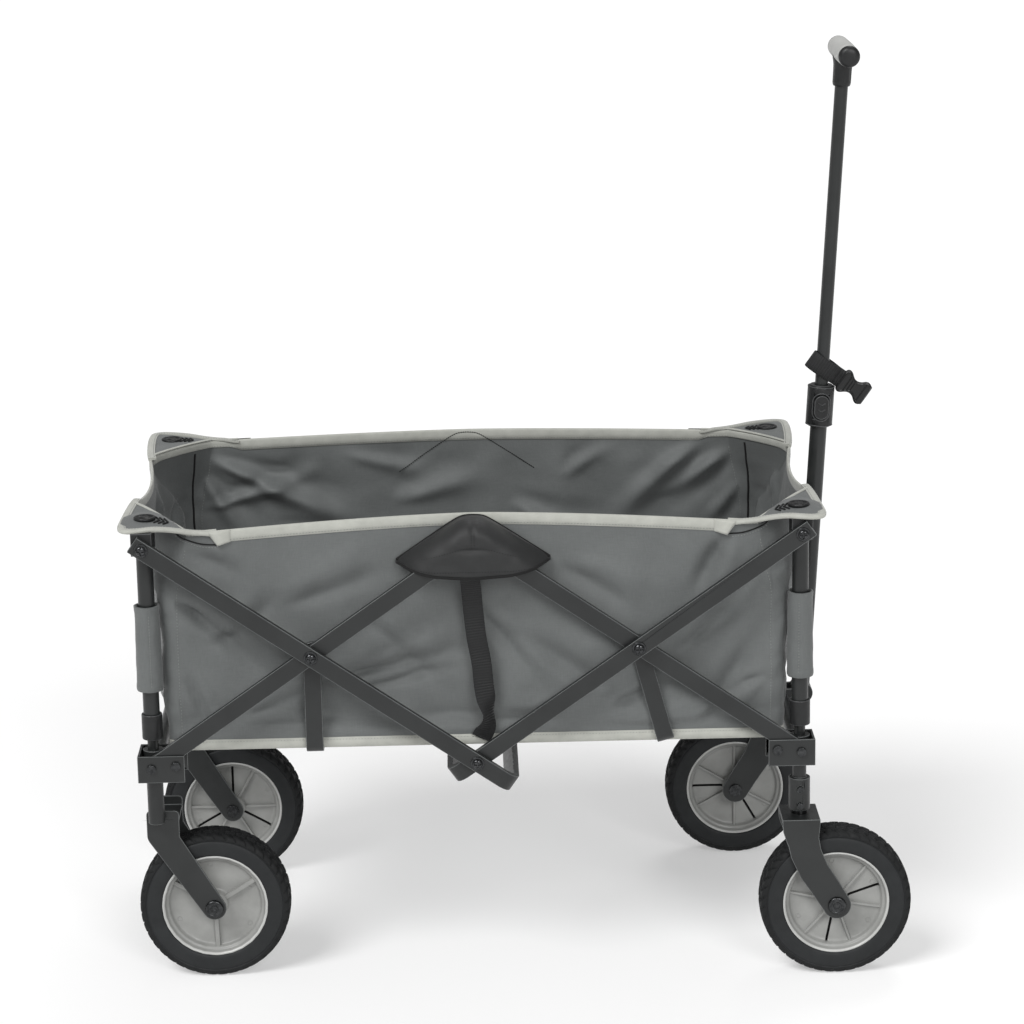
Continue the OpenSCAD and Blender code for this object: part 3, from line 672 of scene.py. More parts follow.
def rim_face_part(features, side):
    """One face of a wheel's rim.

    Each feature is (angle in degrees, half width, height): a rib, or a slot if it is low.
    """
    features = sorted((math.radians(a % 360), w, h) for a, w, h in features)
    between = 9
    spots = []
    for n, (angle, half, height) in enumerate(features):
        later = features[(n + 1) % len(features)]
        gap = (later[0] - angle) % (2 * math.pi)
        spots.append((angle, -half - 0.7, None))
        spots += [(angle, offset, height) for offset in (-half, 0, half)]
        spots.append((angle, half + 0.7, None))
        for k in range(1, between):
            t = k / between
            spots.append((angle + gap * t, (half + 0.7) * (1 - t) - (later[1] + 0.7) * t, None))
    run, _ = lengths([(r, h, 0) for r, h in RIM_PROFILE])

    def place(i, j):
        angle, offset, height = spots[i]
        r, h = RIM_PROFILE[j]
        turn = angle + offset / min(max(r, DISC_FROM), DISC_TO)
        if height is not None and DISC_FROM < r < DISC_TO:
            h = height if height < 5 else mix(height, height - 2.4, (r - DISC_FROM) / (DISC_TO - DISC_FROM))
        return (r * math.cos(turn), side * h, r * math.sin(turn), turn * 0.06, run[j] * MM)

    return grid(place, len(spots), len(RIM_PROFILE), 2 * math.pi * 0.06)


def lip_or_slot(part, slots):
    """The material number of each face of a rim: 1 on the lip, a lighter grey as painted highlight, 2 in a
    slot, a near black as painted shade, 0 elsewhere.
    """
    points, faces, _ = part
    numbers = []
    for face in faces:
        x, y, z = np.mean([points[i] for i in face], axis=0)
        r = math.hypot(x, z)
        turn = math.degrees(math.atan2(z, x))
        in_slot = any(
            abs((turn - a + 180) % 360 - 180) * math.pi / 180 * r < 1.7 and abs(y) < 6 and 15.6 < r < 53.5
            for a in slots
        )
        numbers.append(1 if r > 59.0 and abs(y) > 14 else 2 if in_slot else 0)
    return numbers


def tread_or_side(part):
    """The material number of each face of a tyre: 1 on the tread, 0 on the sidewalls."""
    points, faces, _ = part
    middles = [np.mean([points[i] for i in face], axis=0) for face in faces]
    return [1 if math.hypot(x, z) > TREAD_FROM else 0 for x, _, z in middles]


def plain_face(turn):
    """Three wide ribs."""
    return [(turn + 120 * k, 2.3, 12.4) for k in range(3)], []


def slotted_face(turn):
    """Three slots, each with a thin rib to either side."""
    slots = [turn + 120 * k for k in range(3)]
    return [(a, 0.8, 1.2) for a in slots] + [(a + d, 1.1, 11.4) for a in slots for d in (-30, 30)], slots


def make_wheel(end, side_name, body, outer_face, inner_face):
    side = -1 if side_name == "right" else 1
    tyre_node, rim_node = f"{end}_tyre_{side_name}", f"{end}_rim_{side_name}"
    spot = Matrix.Translation(middle(tyre_node))
    tyre = Shape()
    part = tyre_part()
    tyre.add(part, 0, spot)
    tyre.numbers = tread_or_side(part)
    made = piece(f"tyre_{end}_{side_name}", tyre, [TYRE, TREAD], body, 50)
    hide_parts(tyre_node)

    rim = Shape()
    numbers = []
    for (features, slots), way in ((outer_face, side), (inner_face, -side)):
        part = rim_face_part(features, way)
        numbers += lip_or_slot(part, slots)
        rim.add(part, 0, spot)
    rim.numbers = numbers
    for way in SIDES:
        mark = lathe(MOULD_MARK, 20, "y" if way > 0 else "-y")
        for turn in (25, 95, 205, 325):
            angle = math.radians(turn)
            place = Vector((MARK_RING * math.cos(angle), way * 6.1, MARK_RING * math.sin(angle)))
            rim.add(mark, 0, spot @ Matrix.Translation(place))
    made = piece(f"rim_{end}_{side_name}", rim, [RIM, RIM_LIP_HIGHLIGHT, RIM_SLOT_SHADE], body, 40)
    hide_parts(rim_node)


make_wheel("rear", "right", "rear_wheel_right", plain_face(31), slotted_face(40))
make_wheel("rear", "left", "rear_wheel_left", plain_face(31), slotted_face(90))
make_wheel("front", "right", "front_wheel_right", slotted_face(19), plain_face(20))
make_wheel("front", "left", "front_wheel_left", slotted_face(70), slotted_face(60))


# ---- Axle caps and pivot screws ----

def cross_head(r, height):
    """A pan head with a cross recess, outwards along -Y from the origin."""
    rings = [(r, 0.0), (r, 0.35 * height), (0.93 * r, 0.7 * height), (0.72 * r, 0.92 * height),
             (0.5 * r, height), (0.3 * r, height), (0.15 * r, height), (0.02, height)]
    turns = 48

    def place(i, j):
        radius, h = rings[j]
        angle = 2 * math.pi * i / turns
        x, z = radius * math.cos(angle), radius * math.sin(angle)
        arm = min(abs(x), abs(z))
        if arm < 0.11 * r and max(abs(x), abs(z)) < 0.56 * r:
            h -= 0.45 * height
        return (x, -h, z, radius * MM, angle * 0.003)

    return grid(place, turns, len(rings), 2 * math.pi * 0.003)


def washer(outer, inner, thick):
    return lathe([(inner, 0.0), (inner, thick * 0.8), (inner + 0.3, thick), (outer - 0.5, thick),
                  (outer, thick * 0.6), (outer, 0.0)], 40, "-y")


def axle_cap():
    """A dished ring round a small bolt with a hex socket."""
    part = Shape()
    part.add(lathe([(10.6, 0.0), (10.6, 1.6), (9.9, 2.8), (8.8, 3.2), (7.7, 3.1), (6.9, 2.4), (6.4, 1.2),
                    (4.0, 1.0)],
                   48, "-y"))
    rings = [(4.9, 0.6), (4.9, 2.9), (4.5, 3.5), (3.6, 3.7), (2.5, 3.6), (2.3, 2.0), (0.02, 1.6)]

    def place(i, j):
        radius, h = rings[j]
        angle = 2 * math.pi * i / 48
        if j in (4, 5):
            radius *= 0.94 / math.cos((angle % (math.pi / 3)) - math.pi / 6)
        return (radius * math.cos(angle), -h, radius * math.sin(angle), angle * 0.004, radius * MM)

    part.add(grid(place, 48, len(rings), 2 * math.pi * 0.004), 1)
    return part


def add_all(shape, parts, matrix=None):
    """Puts a gathered shape's mesh into another, moved if a matrix is given."""
    points = np.vstack(parts.points)
    start = len(shape.numbers)
    shape.add((points, parts.faces, parts.uvs), 0, matrix)
    shape.numbers[start:] = parts.numbers


def outward(side):
    """Turns a detail that faces -Y to face the given side."""
    return Matrix.Identity(4) if side < 0 else Matrix.Diagonal((1, -1, 1, 1))


def make_screws(name, spots, body, cap=False):
    """Screws on one body. A spot is (x, y, z) on the face that the screw sits on, on either side."""
    shape = Shape()
    for x, y, z in spots:
        place = Matrix.Translation((x, y, z)) @ outward(-1 if y < 0 else 1)
        if cap:
            add_all(shape, axle_cap(), place)
        else:
            shape.add(washer(8.2, 5.6, 1.3), 0, place)
            shape.add(cross_head(5.9, 4.6), 1, place)
    piece(name, shape, [BOLT, BOLT if cap else SCREW], body, 40)


SCREW = metal("screw_look", (0.035, 0.036, 0.038), (0.09, 0.092, 0.095), 0.2, 0.32)
OUTER_FACE = 243.0
INNER_FACE = 234.0
CROSSING_REACH = 187.5
for screws, x, face, z, body in (
    ("screws_rear_crossing", MID_X - CROSSING_REACH, OUTER_FACE, CROSS_Z, "inner_arms_rear"),
    ("screws_front_crossing", MID_X + CROSSING_REACH, INNER_FACE, CROSS_Z, "outer_arms_front"),
    ("screws_bottom_centre", MID_X, OUTER_FACE, LOW_Z, "outer_arms_rear"),
    ("screws_rear_top", REAR_X, OUTER_FACE, HIGH_Z, "upper_rear"),
    ("screws_front_top", FRONT_X, INNER_FACE, HIGH_Z, "upper_front"),
):
    make_screws(screws, [(x, s * face, z) for s in SIDES], body)
FORK_FACE = 28.0
rear_axle = middle("rear_tyre_right")
right_axle, left_axle = middle("front_tyre_right"), middle("front_tyre_left")
make_screws("caps_rear_axles", [(rear_axle.x, s * (abs(rear_axle.y) + FORK_FACE), WHEEL_R) for s in SIDES],
            "chassis", True)
make_screws("cap_caster_right", [(right_axle.x, right_axle.y - FORK_FACE, WHEEL_R)], "caster_right", True)
make_screws("cap_caster_left", [(left_axle.x, left_axle.y + FORK_FACE, WHEEL_R)], "caster_left", True)


# ---- Basket walls ----

RIM_Z = 565.0
FLOOR_Z = 298.0
FLARE_Z = 462.0
WALL_Y = 202.0
WALL_X = 354.0
END_REACH = 394.0
END_TOP = 562.0
# Where a side and an end stop being straight: at the bottom, and at the ears
SIDE_END, EAR_JOIN = 341.0, 325.0
END_SIDE, EAR_END = 190.0, 111.0
# How round a corner of the rim is: 2 is an ellipse, 1 is straight
CORNER_POWER = 1.12
SIDE_STEPS, CORNER_STEPS, END_STEPS = 62, 12, 30
RING = 2 * (SIDE_STEPS + END_STEPS) + 4 * CORNER_STEPS
LEVELS = 30
SETTLE_FRAMES = 36


def quarter(k):
    """One step of a quarter ring: (which part, how far along it)."""
    if k < SIDE_STEPS // 2:
        return "side", k / (SIDE_STEPS // 2)
    k -= SIDE_STEPS // 2
    if k < CORNER_STEPS:
        return "corner", k / CORNER_STEPS
    return "end", (k - CORNER_STEPS) / (END_STEPS // 2)


def ring_spot(i, flare, lean=0.0):
    """The i-th place round the basket, from the wagon's middle: x, y, and the part of the wall it is on."""
    quarter_steps = RING // 4
    which, k = divmod(i % RING, quarter_steps)
    if which % 2:
        k = quarter_steps - k
    if k == quarter_steps:
        part, t = "end", 1.0
    else:
        part, t = quarter(k)
    side_end = mix(SIDE_END, EAR_JOIN, flare)
    end_side = mix(END_SIDE, EAR_END, flare)
    x_far = mix(WALL_X + lean, END_REACH, flare)
    if part == "side":
        x, y = side_end * t, WALL_Y
    elif part == "corner":
        power = 2 / mix(2.0, CORNER_POWER, flare)
        phase = t * math.pi / 2
        x = side_end + (x_far - side_end) * math.sin(phase) ** power
        y = end_side + (WALL_Y - end_side) * math.cos(phase) ** power
    else:
        x, y = x_far, end_side * (1 - t)
    sx, sy = ((1, -1), (1, 1), (-1, 1), (-1, -1))[which]
    return sx * x, sy * y, part, t


def side_drop(y):
    """How far the rim of a side falls from its middle to its ears. The right side hangs looser."""
    return 16.5 if y < 0 else 8.0


def side_top(y):
    """The rim's height at the middle of a side. The left side is pulled a little higher."""
    return RIM_Z if y < 0 else RIM_Z + 3.2


def rim_height(part, t, x, y):
    """The basket's top edge: bowed along the sides, low where a corner begins, sagging at the ends."""
    if part == "side":
        return side_top(y) - side_drop(y) * min(1.0, abs(x) / 312) ** 1.5
    if part == "corner":
        return mix(side_top(y) - side_drop(y), END_TOP, smoothstep(t, 0.0, 0.7))
    return END_TOP - 9.0 * (1 - (y / EAR_END) ** 2)


def inward_bow(y):
    """The end rims bow in between the corners."""
    return 9.0 * (1 - min(1.0, (y / EAR_END) ** 2))


def wall_spot(i, j):
    t = j / (LEVELS - 1)
    x, y, part, along = ring_spot(i, 1.0)
    top = rim_height(part, along, x, y)
    z = mix(FLOOR_Z, top, t)
    flare = smoothstep(z, FLARE_Z, 560.0 if part != "side" else top) ** 0.9
    x, y, part, along = ring_spot(i, flare, 8.0 * smoothstep(z, FLOOR_Z - 120, FLARE_Z + 20))
    if part == "end":
        x -= math.copysign(inward_bow(y) * flare, x)
    return x, y, z


def hang_cloth(spots):
    """Lets the walls settle under their own weight, held at the rim, the bottom and the corners."""
    mesh = bpy.data.meshes.new("hanging")
    points, faces, _ = grid(lambda i, j: (*spots[i, j], 0, 0), RING, LEVELS, 1.0)
    mesh.from_pydata((points * MM).tolist(), [], faces)
    hung = bpy.data.objects.new("hanging", mesh)
    bpy.context.scene.collection.objects.link(hung)
    held = hung.vertex_groups.new(name="held")
    first = SIDE_STEPS // 2 + CORNER_STEPS // 2
    corners = [first, RING // 2 - first, RING // 2 + first, RING - first]
    for i in range(RING):
        near_corner = min(abs(i - c) for c in corners)
        for j in range(LEVELS):
            if j in (0, LEVELS - 1) or (near_corner <= 1 and j < LEVELS * 0.72):
                held.add([i * LEVELS + j], 1.0, "REPLACE")
    cloth = hung.modifiers.new("cloth", "CLOTH")
    settings = cloth.settings
    settings.vertex_group_mass = "held"
    settings.quality = 6
    settings.mass = 0.35
    settings.tension_stiffness = 40
    settings.compression_stiffness = 30
    settings.shear_stiffness = 12
    settings.bending_stiffness = 1.2
    settings.air_damping = 2.0
    settings.shrink_min = -0.014
    settings.effector_weights.gravity = 0.6
    cloth.collision_settings.use_self_collision = False
    scene = bpy.context.scene
    scene.frame_start = 1
    scene.frame_end = SETTLE_FRAMES
    for number in range(1, SETTLE_FRAMES + 1):
        scene.frame_set(number)
    settled = hung.evaluated_get(bpy.context.evaluated_depsgraph_get())
    co = np.zeros(RING * LEVELS * 3, np.float32)
    settled.data.vertices.foreach_get("co", co)
    scene.frame_set(1)
    bpy.data.objects.remove(hung)
    bpy.data.meshes.remove(mesh)
    return calmed(spots, co.reshape(RING, LEVELS, 3).astype(float) / MM)


def calmed(spots, settled):
    """Takes out the fine ripples where the corners' columns crowd together."""
    crowded = np.array([ring_spot(i, 0.0)[2] == "corner" for i in range(RING)], float)
    for _ in range(8):
        crowded = np.maximum(crowded, 0.5 * (np.roll(crowded, 1) + np.roll(crowded, -1)))
    shift = settled - spots
    smooth = shift
    for _ in range(24):
        smooth = 0.25 * np.roll(smooth, 1, 0) + 0.5 * smooth + 0.25 * np.roll(smooth, -1, 0)
    light = 0.25 * np.roll(shift, 1, 0) + 0.5 * shift + 0.25 * np.roll(shift, -1, 0)
    share = crowded[:, None, None]
    return spots + (share * smooth + (1 - share) * light) * rim_hold(spots)[..., None]


def rim_hold(walls):
    """How freely each place of the cloth can move: not at all under the rim's binding or at the bottom."""
    z = walls[..., 2]
    below = np.clip((z[:, -1:] - z - 9.0) / 34.0, 0, 1)
    above = np.clip((z - z[:, :1] - 4.0) / 26.0, 0, 1)
    return (below * below * (3 - 2 * below)) * (above * above * (3 - 2 * above))


def crease(u, z, fold):
    """How far a fold, which is (from, to, width, depth), pushes the cloth at each place."""
    (au, az), (bu, bz), width, depth = fold
    du, dz = bu - au, bz - az
    length = math.hypot(du, dz)
    t = ((u - au) * du + (z - az) * dz) / length ** 2
    across = ((u - au) * dz - (z - az) * du) / length
    across = across + 5.0 * np.sin(2.6 * t + 0.05 * au)
    spread = 0.8 * width * (0.6 + 0.75 * np.clip(t, 0, 1))
    a = across / spread
    fade = np.clip((t + 0.12) / 0.3, 0, 1) * np.clip((1.15 - t) / 0.5, 0, 1)
    return 1.5 * depth * fade * (np.exp(-a * a) * (1 + 0.9 * a) - 0.5 * np.exp(-((a + 1.9) ** 2)))


# Folds in the right wall, which faces the camera: places are x from the wagon's middle, and z
RIGHT_FOLDS = [
    ((-346, 538), (-272, 508), 11, 5.0), ((-356, 474), (-236, 384), 13, 6.5),
    ((-350, 462), (-306, 452), 7, 4.0), ((-338, 384), (-296, 300), 8, 4.5),
    ((-350, 352), (-314, 296), 7, 3.5), ((-160, 378), (-6, 404), 12, 5.5), ((-142, 358), (-22, 378), 9, 4.0),
    ((-204, 462), (-92, 516), 17, 3.6), ((-120, 436), (-30, 344), 15, 3.6), ((288, 546), (262, 458), 12, 6.0),
    ((352, 512), (306, 468), 9, 5.0), ((240, 404), (312, 458), 13, 5.0), ((262, 296), (326, 420), 13, 4.5),
    ((52, 420), (196, 340), 17, 4.2), ((8, 444), (82, 352), 12, 4.0), ((112, 500), (190, 442), 15, 3.4),
    ((-300, 420), (-232, 470), 10, 3.2), ((150, 322), (236, 372), 11, 3.4),
    ((-262, 330), (-190, 352), 10, 3.0), ((330, 360), (286, 330), 8, 3.4)
]
# Folds in the left wall, seen from inside
LEFT_FOLDS = [
    ((-334, 540), (-168, 470), 13, 7.0), ((-324, 476), (-206, 524), 10, 5.0),
    ((-352, 522), (-286, 446), 11, 5.5), ((292, 560), (196, 450), 15, 7.5), ((356, 548), (236, 478), 11, 6.0),
    ((350, 494), (298, 446), 9, 4.5), ((124, 512), (190, 556), 12, 3.2), ((-86, 478), (10, 522), 16, 3.6),
    ((-240, 440), (-120, 400), 14, 4.0), ((60, 470), (150, 430), 15, 4.0), ((-150, 548), (-60, 512), 13, 3.0),
    ((-330, 380), (-220, 420), 12, 4.0), ((330, 360), (220, 420), 12, 4.0), ((-80, 350), (40, 380), 16, 3.4)
]
END_FOLDS = [
    ((178, 470), (70, 380), 11, 4.6), ((-172, 500), (-100, 400), 9, 4.0), ((150, 545), (110, 450), 9, 4.0),
    ((-60, 540), (-20, 420), 13, 3.2), ((-184, 330), (-90, 420), 12, 4.0), ((60, 500), (90, 330), 12, 3.0)
]


def tension_folds(walls):
    """Adds the pulls that the posts, seams and ears make in the cloth to its grid of places."""
    columns = len(walls)
    parts = [ring_spot(i * RING // columns, 0.0)[2] for i in range(columns)]
    sides = np.array([part == "side" for part in parts], float)
    ends = np.array([part == "end" for part in parts], float)
    for _ in range(6):
        sides = 0.25 * np.roll(sides, 1) + 0.5 * sides + 0.25 * np.roll(sides, -1)
        ends = 0.25 * np.roll(ends, 1) + 0.5 * ends + 0.25 * np.roll(ends, -1)
    hold = rim_hold(walls)
    x, y, z = walls[..., 0], walls[..., 1], walls[..., 2]
    cloud = np.array([[2.6 * wobble(*p, 78.0, 7.7) + 1.1 * wobble(*p, 31.0, 3.3) for p in row]
                      for row in walls])
    right = sum(crease(x, z, fold) for fold in RIGHT_FOLDS)
    left = sum(crease(x, z, fold) for fold in LEFT_FOLDS)
    end = sum(crease(y * np.sign(x), z, fold) for fold in END_FOLDS)
    side_push = (np.where(y < 0, right, left) + cloud + 1.0) * hold * sides[:, None]
    end_push = (end + cloud) * hold * ends[:, None]
    walls[..., 1] = np.clip(y - np.sign(y) * side_push, -207.0, 207.0)
    walls[..., 0] = x - np.sign(x) * end_push
    return walls


def make_walls():
    """The four walls as one cloth, hung between the rim, the bottom seam and the corners."""
    spots = np.array([[wall_spot(i, j) for j in range(LEVELS)] for i in range(RING)])
    for i in range(RING):
        part = ring_spot(i, 0.0)[2]
        for j in range(LEVELS):
            ripple = 1.6 * wobble(*spots[i, j], 62.0, 3.1) * math.sin(math.pi * j / (LEVELS - 1))
            if part != "corner":
                spots[i, j, 1 if part == "side" else 0] += ripple
    spots = hang_cloth(spots)
    fine = curve(spots, 2, True)
    fine = curve(fine.swapaxes(0, 1), 3).swapaxes(0, 1)
    return tension_folds(fine)


cloth_grid = make_walls()
COLUMNS, ROWS = cloth_grid.shape[:2]
WALL_ROUND = 2270.0
rows_along = [lengths(cloth_grid[:, j], closed=True) for j in range(ROWS)]
wall_u = np.stack([along / total * WALL_ROUND for along, total in rows_along], axis=1)


def wall_place(i, j):
    x, y, z = cloth_grid[i, j]
    return (x + MID_X, y, z, wall_u[i, j] * MM, z * MM)


wall_part = grid(wall_place, COLUMNS, ROWS, WALL_ROUND * MM)
walls = piece("basket_walls", Shape().add(wall_part), [FABRIC], "upper_rear", 180)
thicken(walls, 1.4, 0.0)
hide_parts("basket")


def wall_line(column, low, high, out):
    """A line up the settled cloth at one column, out millimetres off its surface (in, if negative)."""
    line = cloth_grid[column % COLUMNS, low:high].copy()
    beside = cloth_grid[(column + 1) % COLUMNS, low:high] - cloth_grid[(column - 1) % COLUMNS, low:high]
    facing = level_normals(beside)
    if np.dot(facing[0], (line[0, 0], line[0, 1], 0)) < 0:
        facing = -facing
    line += facing * out + np.array((MID_X, 0, 0))
    return line, facing * math.copysign(1, out)


# ---- The rim's binding: a band along each side and each end, with stitches and folded tabs ----

def edge_path(level, step):
    """A closed line round the basket at one level of its walls."""
    return spaced([wall_spot(i, level) for i in range(RING)], step, closed=True) + np.array((MID_X, 0, 0))


def facing_out(path):
    """The level direction out of the basket at each point of a closed path round it."""
    out = level_normals(tangents(path, True))
    return -out if np.dot(out[0], (0, path[0][1], 0)) < 0 else out


rim = edge_path(LEVELS - 1, 6.0)
rim_out = facing_out(rim)
BAND = 12.6
band_half = [(0.2, -BAND), (0.9, -BAND - 0.4), (1.6, -BAND), (2.0, -BAND / 2), (1.9, -1.4), (1.2, 0.6)]
band_section = np.array([(-x, z) for x, z in band_half[2::-1]] + band_half
                        + [(0.0, 1.2)] + [(-x, z) for x, z in band_half[:2:-1]])
band_points, band_faces, band_uvs = sweep(rim, band_section, (0, 0, 1), True)
band_rows = band_points.reshape(len(rim), -1, 3)
# How wide the band is at each point, as a share: it narrows under the ears
narrow = np.array([
    1 - (0.75 if y < 0 else 0.4) * smoothstep(abs(x - MID_X), 286, 304) * smoothstep(abs(y), 100, 130)
    for x, y, _ in rim
])
band_rows[..., 2] = rim[:, None, 2] + (band_rows[..., 2] - rim[:, None, 2]) * narrow[:, None]
binding = Shape().add((band_rows.reshape(-1, 3), band_faces, band_uvs))
for face in (-1, 1):
    row = rim + rim_out * face * 2.05
    row[:, 2] -= (BAND - 2.0) * narrow
    binding.add(stitches(row, rim_out * face, 3.6, (1.2, 0.45, 0.5)), 1)


def tab_part(sy):
    """The folded end of a side's binding: a slanting tab that hangs a little below it, at +x."""
    def place(i, j):
        s, t = i / 14, j / 12
        x = mix(mix(304.0, 276.0, s), mix(291.0, 276.0, s), t)
        foot = BAND + 4.8 - 4.2 * s
        edge = min(s, 1 - s, t, 1 - t)
        lift = 2.2 + (4.4 - 3.0 * smoothstep(s, 0.3, 1.0)) * min(1.0, edge / 0.1) ** 0.5
        z = rim_height("side", 0, x, sy) + 1.8 - (foot + 1.8) * t
        return (x + MID_X, math.copysign(WALL_Y + lift, sy), z, x * MM, z * MM)

    return grid(place, 15, 13)


for sx in SIDES:
    to_middle = Matrix.Translation((MID_X, 0, 0))
    flip = to_middle @ Matrix.Diagonal((sx, 1, 1, 1)) @ to_middle.inverted()
    for sy in SIDES:
        binding.add(tab_part(sy), 0, flip)
rim_binding = piece("rim_binding", binding, [BINDING, THREAD], "upper_rear", 60)


# ---- Seams: bottom welt, corner piping and rows of stitches that follow the settled cloth ----

bottom = edge_path(0, 8.0) - np.array((0, 0, 3.0))
bottom_out = facing_out(bottom)
welt_section = np.array([(-1.5, -6.2), (0.0, -7.0), (1.5, -6.2), (2.1, 0), (1.6, 5.2), (0.0, 6.0),
                         (-1.6, 5.2), (-2.1, 0)])
welt = Shape().add(sweep(bottom, welt_section, (0, 0, 1), True))
welt.add(stitches(bottom + bottom_out * 2.0 + np.array((0, 0, 3.2)), bottom_out, 3.6), 1)
bottom_binding = piece("bottom_binding", welt, [BINDING, THREAD], "upper_rear", 60)

seams = Shape()
QUARTER = COLUMNS // 4
for corner in range(4):
    for step, seam_kind in ((31, "stitched"), (35, "piped")):
        at = step * 2 if corner % 2 == 0 else QUARTER - step * 2
        column = corner * QUARTER + at
        if seam_kind == "piped":
            line, facing = wall_line(column, 1, ROWS - 4, -0.9)
            seams.add(sweep(spaced(line, 4.0), oval(1.3, 1.3, 8), (1, 0.1, 0)))
        else:
            for out in (-0.9, 0.9):
                line, facing = wall_line(column, 1, ROWS - 6, out)
                seams.add(stitches(line, facing, 3.8, (1.3, 0.45, 0.4)), 1)


for sx in SIDES:
    for sy in SIDES:
        low = rim_height("side", 0, 312, sy)
        line = [(339, low + 2), (333, low - 4), (322, low - 9), (308, low - 13), (291, low - 14)]
        line = spaced(curve([(MID_X + sx * x, sy * (WALL_Y + 1.2), z) for x, z in line], 8), 3.0)
        seams.add(sweep(line, oval(0.9, 0.7, 8), (0, sy, 0)))
        seams.add(stitches(line - np.array((0, 0, 3.4)), (0, sy, 0), 3.4, (1.2, 0.45, 0.5)), 1)
seam_lines = piece("corner_seams", seams, [DARK_THREAD, THREAD], "upper_rear", 60)


# ---- Corner ears: a fabric cap over each post top, with its bound edges, disc and chevrons ----

EAR_HEM = [(290, 203.6), (308, 205.0), (332, 210), (358, 221), (378, 228.5), (390, 229.5), (397.5, 224),
           (400, 212), (400, 190), (398.5, 160), (396.5, 134), (394, 112), (392, 100)]
DISC_AT = (374.0, 191.0)


def ear_outer(sy):
    """The ear's hem from its side point, round the tip, to its end point, from the wagon's middle."""
    outline = spaced(curve([(x, y, 0.0) for x, y in EAR_HEM], 6), 3.0)
    side_z = [rim_height("side", 0, x, sy) - 3.0 * (1 - smoothstep(x, 292, 312)) for x in outline[:, 0]]
    tip_z = 559.6 if sy < 0 else 564.6
    outline[:, 2] = [mix(z + 1.0, tip_z, smoothstep(x, 306, 366)) for z, (x, y, _) in zip(side_z, outline)]
    outline[:, 2] += [(563.0 - tip_z) * (1 - smoothstep(y, 104, 186)) for y in outline[:, 1]]
    return outline


def ear_inner(t, sy):
    """The ear's inner edge, which lies on the rim over the basket's rounded corner."""
    if t < 0.12:
        x = mix(292.0, EAR_JOIN, t / 0.12)
        return np.array((x, WALL_Y, rim_height("side", 0, x, sy) + 1.2))
    t = (t - 0.12) / 0.88
    power = 2 / CORNER_POWER
    x = EAR_JOIN + (END_REACH - EAR_JOIN) * math.sin(t * math.pi / 2) ** power
    y = EAR_END + (WALL_Y - EAR_END) * math.cos(t * math.pi / 2) ** power
    return np.array((x, y, rim_height("corner", t, x, y * sy) + 1.8))


def ear_part(sy):
    """The cap: it rises over the post top and sags a little beside it."""
    outer = ear_outer(sy)
    count, across = len(outer), 20

    def place(i, j):
        t, s = i / (count - 1), j / (across - 1)
        x, y, z = mix(ear_inner(t, sy), outer[i], s)
        inside = math.sin(math.pi * s)
        over_post = math.exp(-(((x - 374) / 34) ** 2 + ((y - 190) / 29) ** 2))
        z += (5.4 if sy < 0 else 2.4) * over_post - 0.4 * inside
        z += 1.2 * wobble(x, y, 0, 24, 4.0 + sy) * inside ** 0.5
        return (x, y, z, x * MM, y * MM)

    return grid(place, count, across)


def chevron(x, y, arm):
    """A V whose point is towards the wagon's middle."""
    line = [(x + arm * 0.62, y - arm, 0), (x, y, 0), (x + arm * 0.62, y + arm, 0)]
    return spaced(line, 1.2)


def make_ear(sx, sy, name, body):
    shape = Shape()
    spot = Matrix.Translation((MID_X, 0, 0)) @ Matrix.Diagonal((sx, sy, 1, 1))
    cap = ear_part(sy)
    surface = np.array(cap[0])

    def height(x, y):
        """The cap's height at a place, from its nearest points."""
        away = np.hypot(surface[:, 0] - x, surface[:, 1] - y)
        near = np.argsort(away)[:4]
        weight = 1 / (away[near] + 0.2)
        return float(np.dot(surface[near, 2], weight) / weight.sum())

    shape.add(cap, 0, spot)
    edge = ear_outer(sy) + np.array((0, 0, 0.4))
    turn = tangents(edge)
    inner = np.array([(w[1], -w[0], 0) for w in turn])
    hem_section = np.array([(-6.5, 0.4), (-6.3, 1.4), (-1.0, 1.9), (2.4, 1.6), (3.4, 0.0), (3.2, -2.2),
                            (2.2, -3.4), (0.6, -3.2), (-1.0, -1.6), (-6.3, -0.9)])
    shape.add(sweep(edge, hem_section * (-1, 1), (0, 0, 1)), 1, spot)
    row = edge + inner * 4.6 + np.array((0, 0, 1.7))
    shape.add(stitches(row, (0, 0, 1), 3.4, (1.1, 0.35, 0.35)), 2, spot)
    inside = np.array([ear_inner(k / 50, sy) for k in range(51)]) + np.array((0, 0, 0.4))
    shape.add(sweep(inside, flat_section(4.2, 2.4), (0, 0, 1)), 1, spot)
    disc = lathe([(12.6, -1.6), (12.6, 1.0), (12.0, 1.9), (10.9, 2.3), (9.8, 2.0), (9.1, 1.0), (7.6, 0.5),
                  (6.0, 0.9), (5.0, 1.9), (3.6, 2.3), (1.8, 2.0), (0.02, 1.9)], 48)
    shape.add(disc, 3, spot @ Matrix.Translation((*DISC_AT, height(*DISC_AT))))
    for n in range(3):
        line = chevron(DISC_AT[0] - 17.5 - 4.8 * n, DISC_AT[1] + 1.0, 10.0 - 0.6 * n)
        line[:, 2] = [height(x, y) + 0.5 for x, y, _ in line]
        shape.add(sweep(line, flat_section(2.0, 1.6), (0, 0, 1)), 3, spot)
    ear = piece(name, shape, [FABRIC, BINDING, THREAD, BLACK], body, 55)
    thicken(ear, 0.9)
    return ear


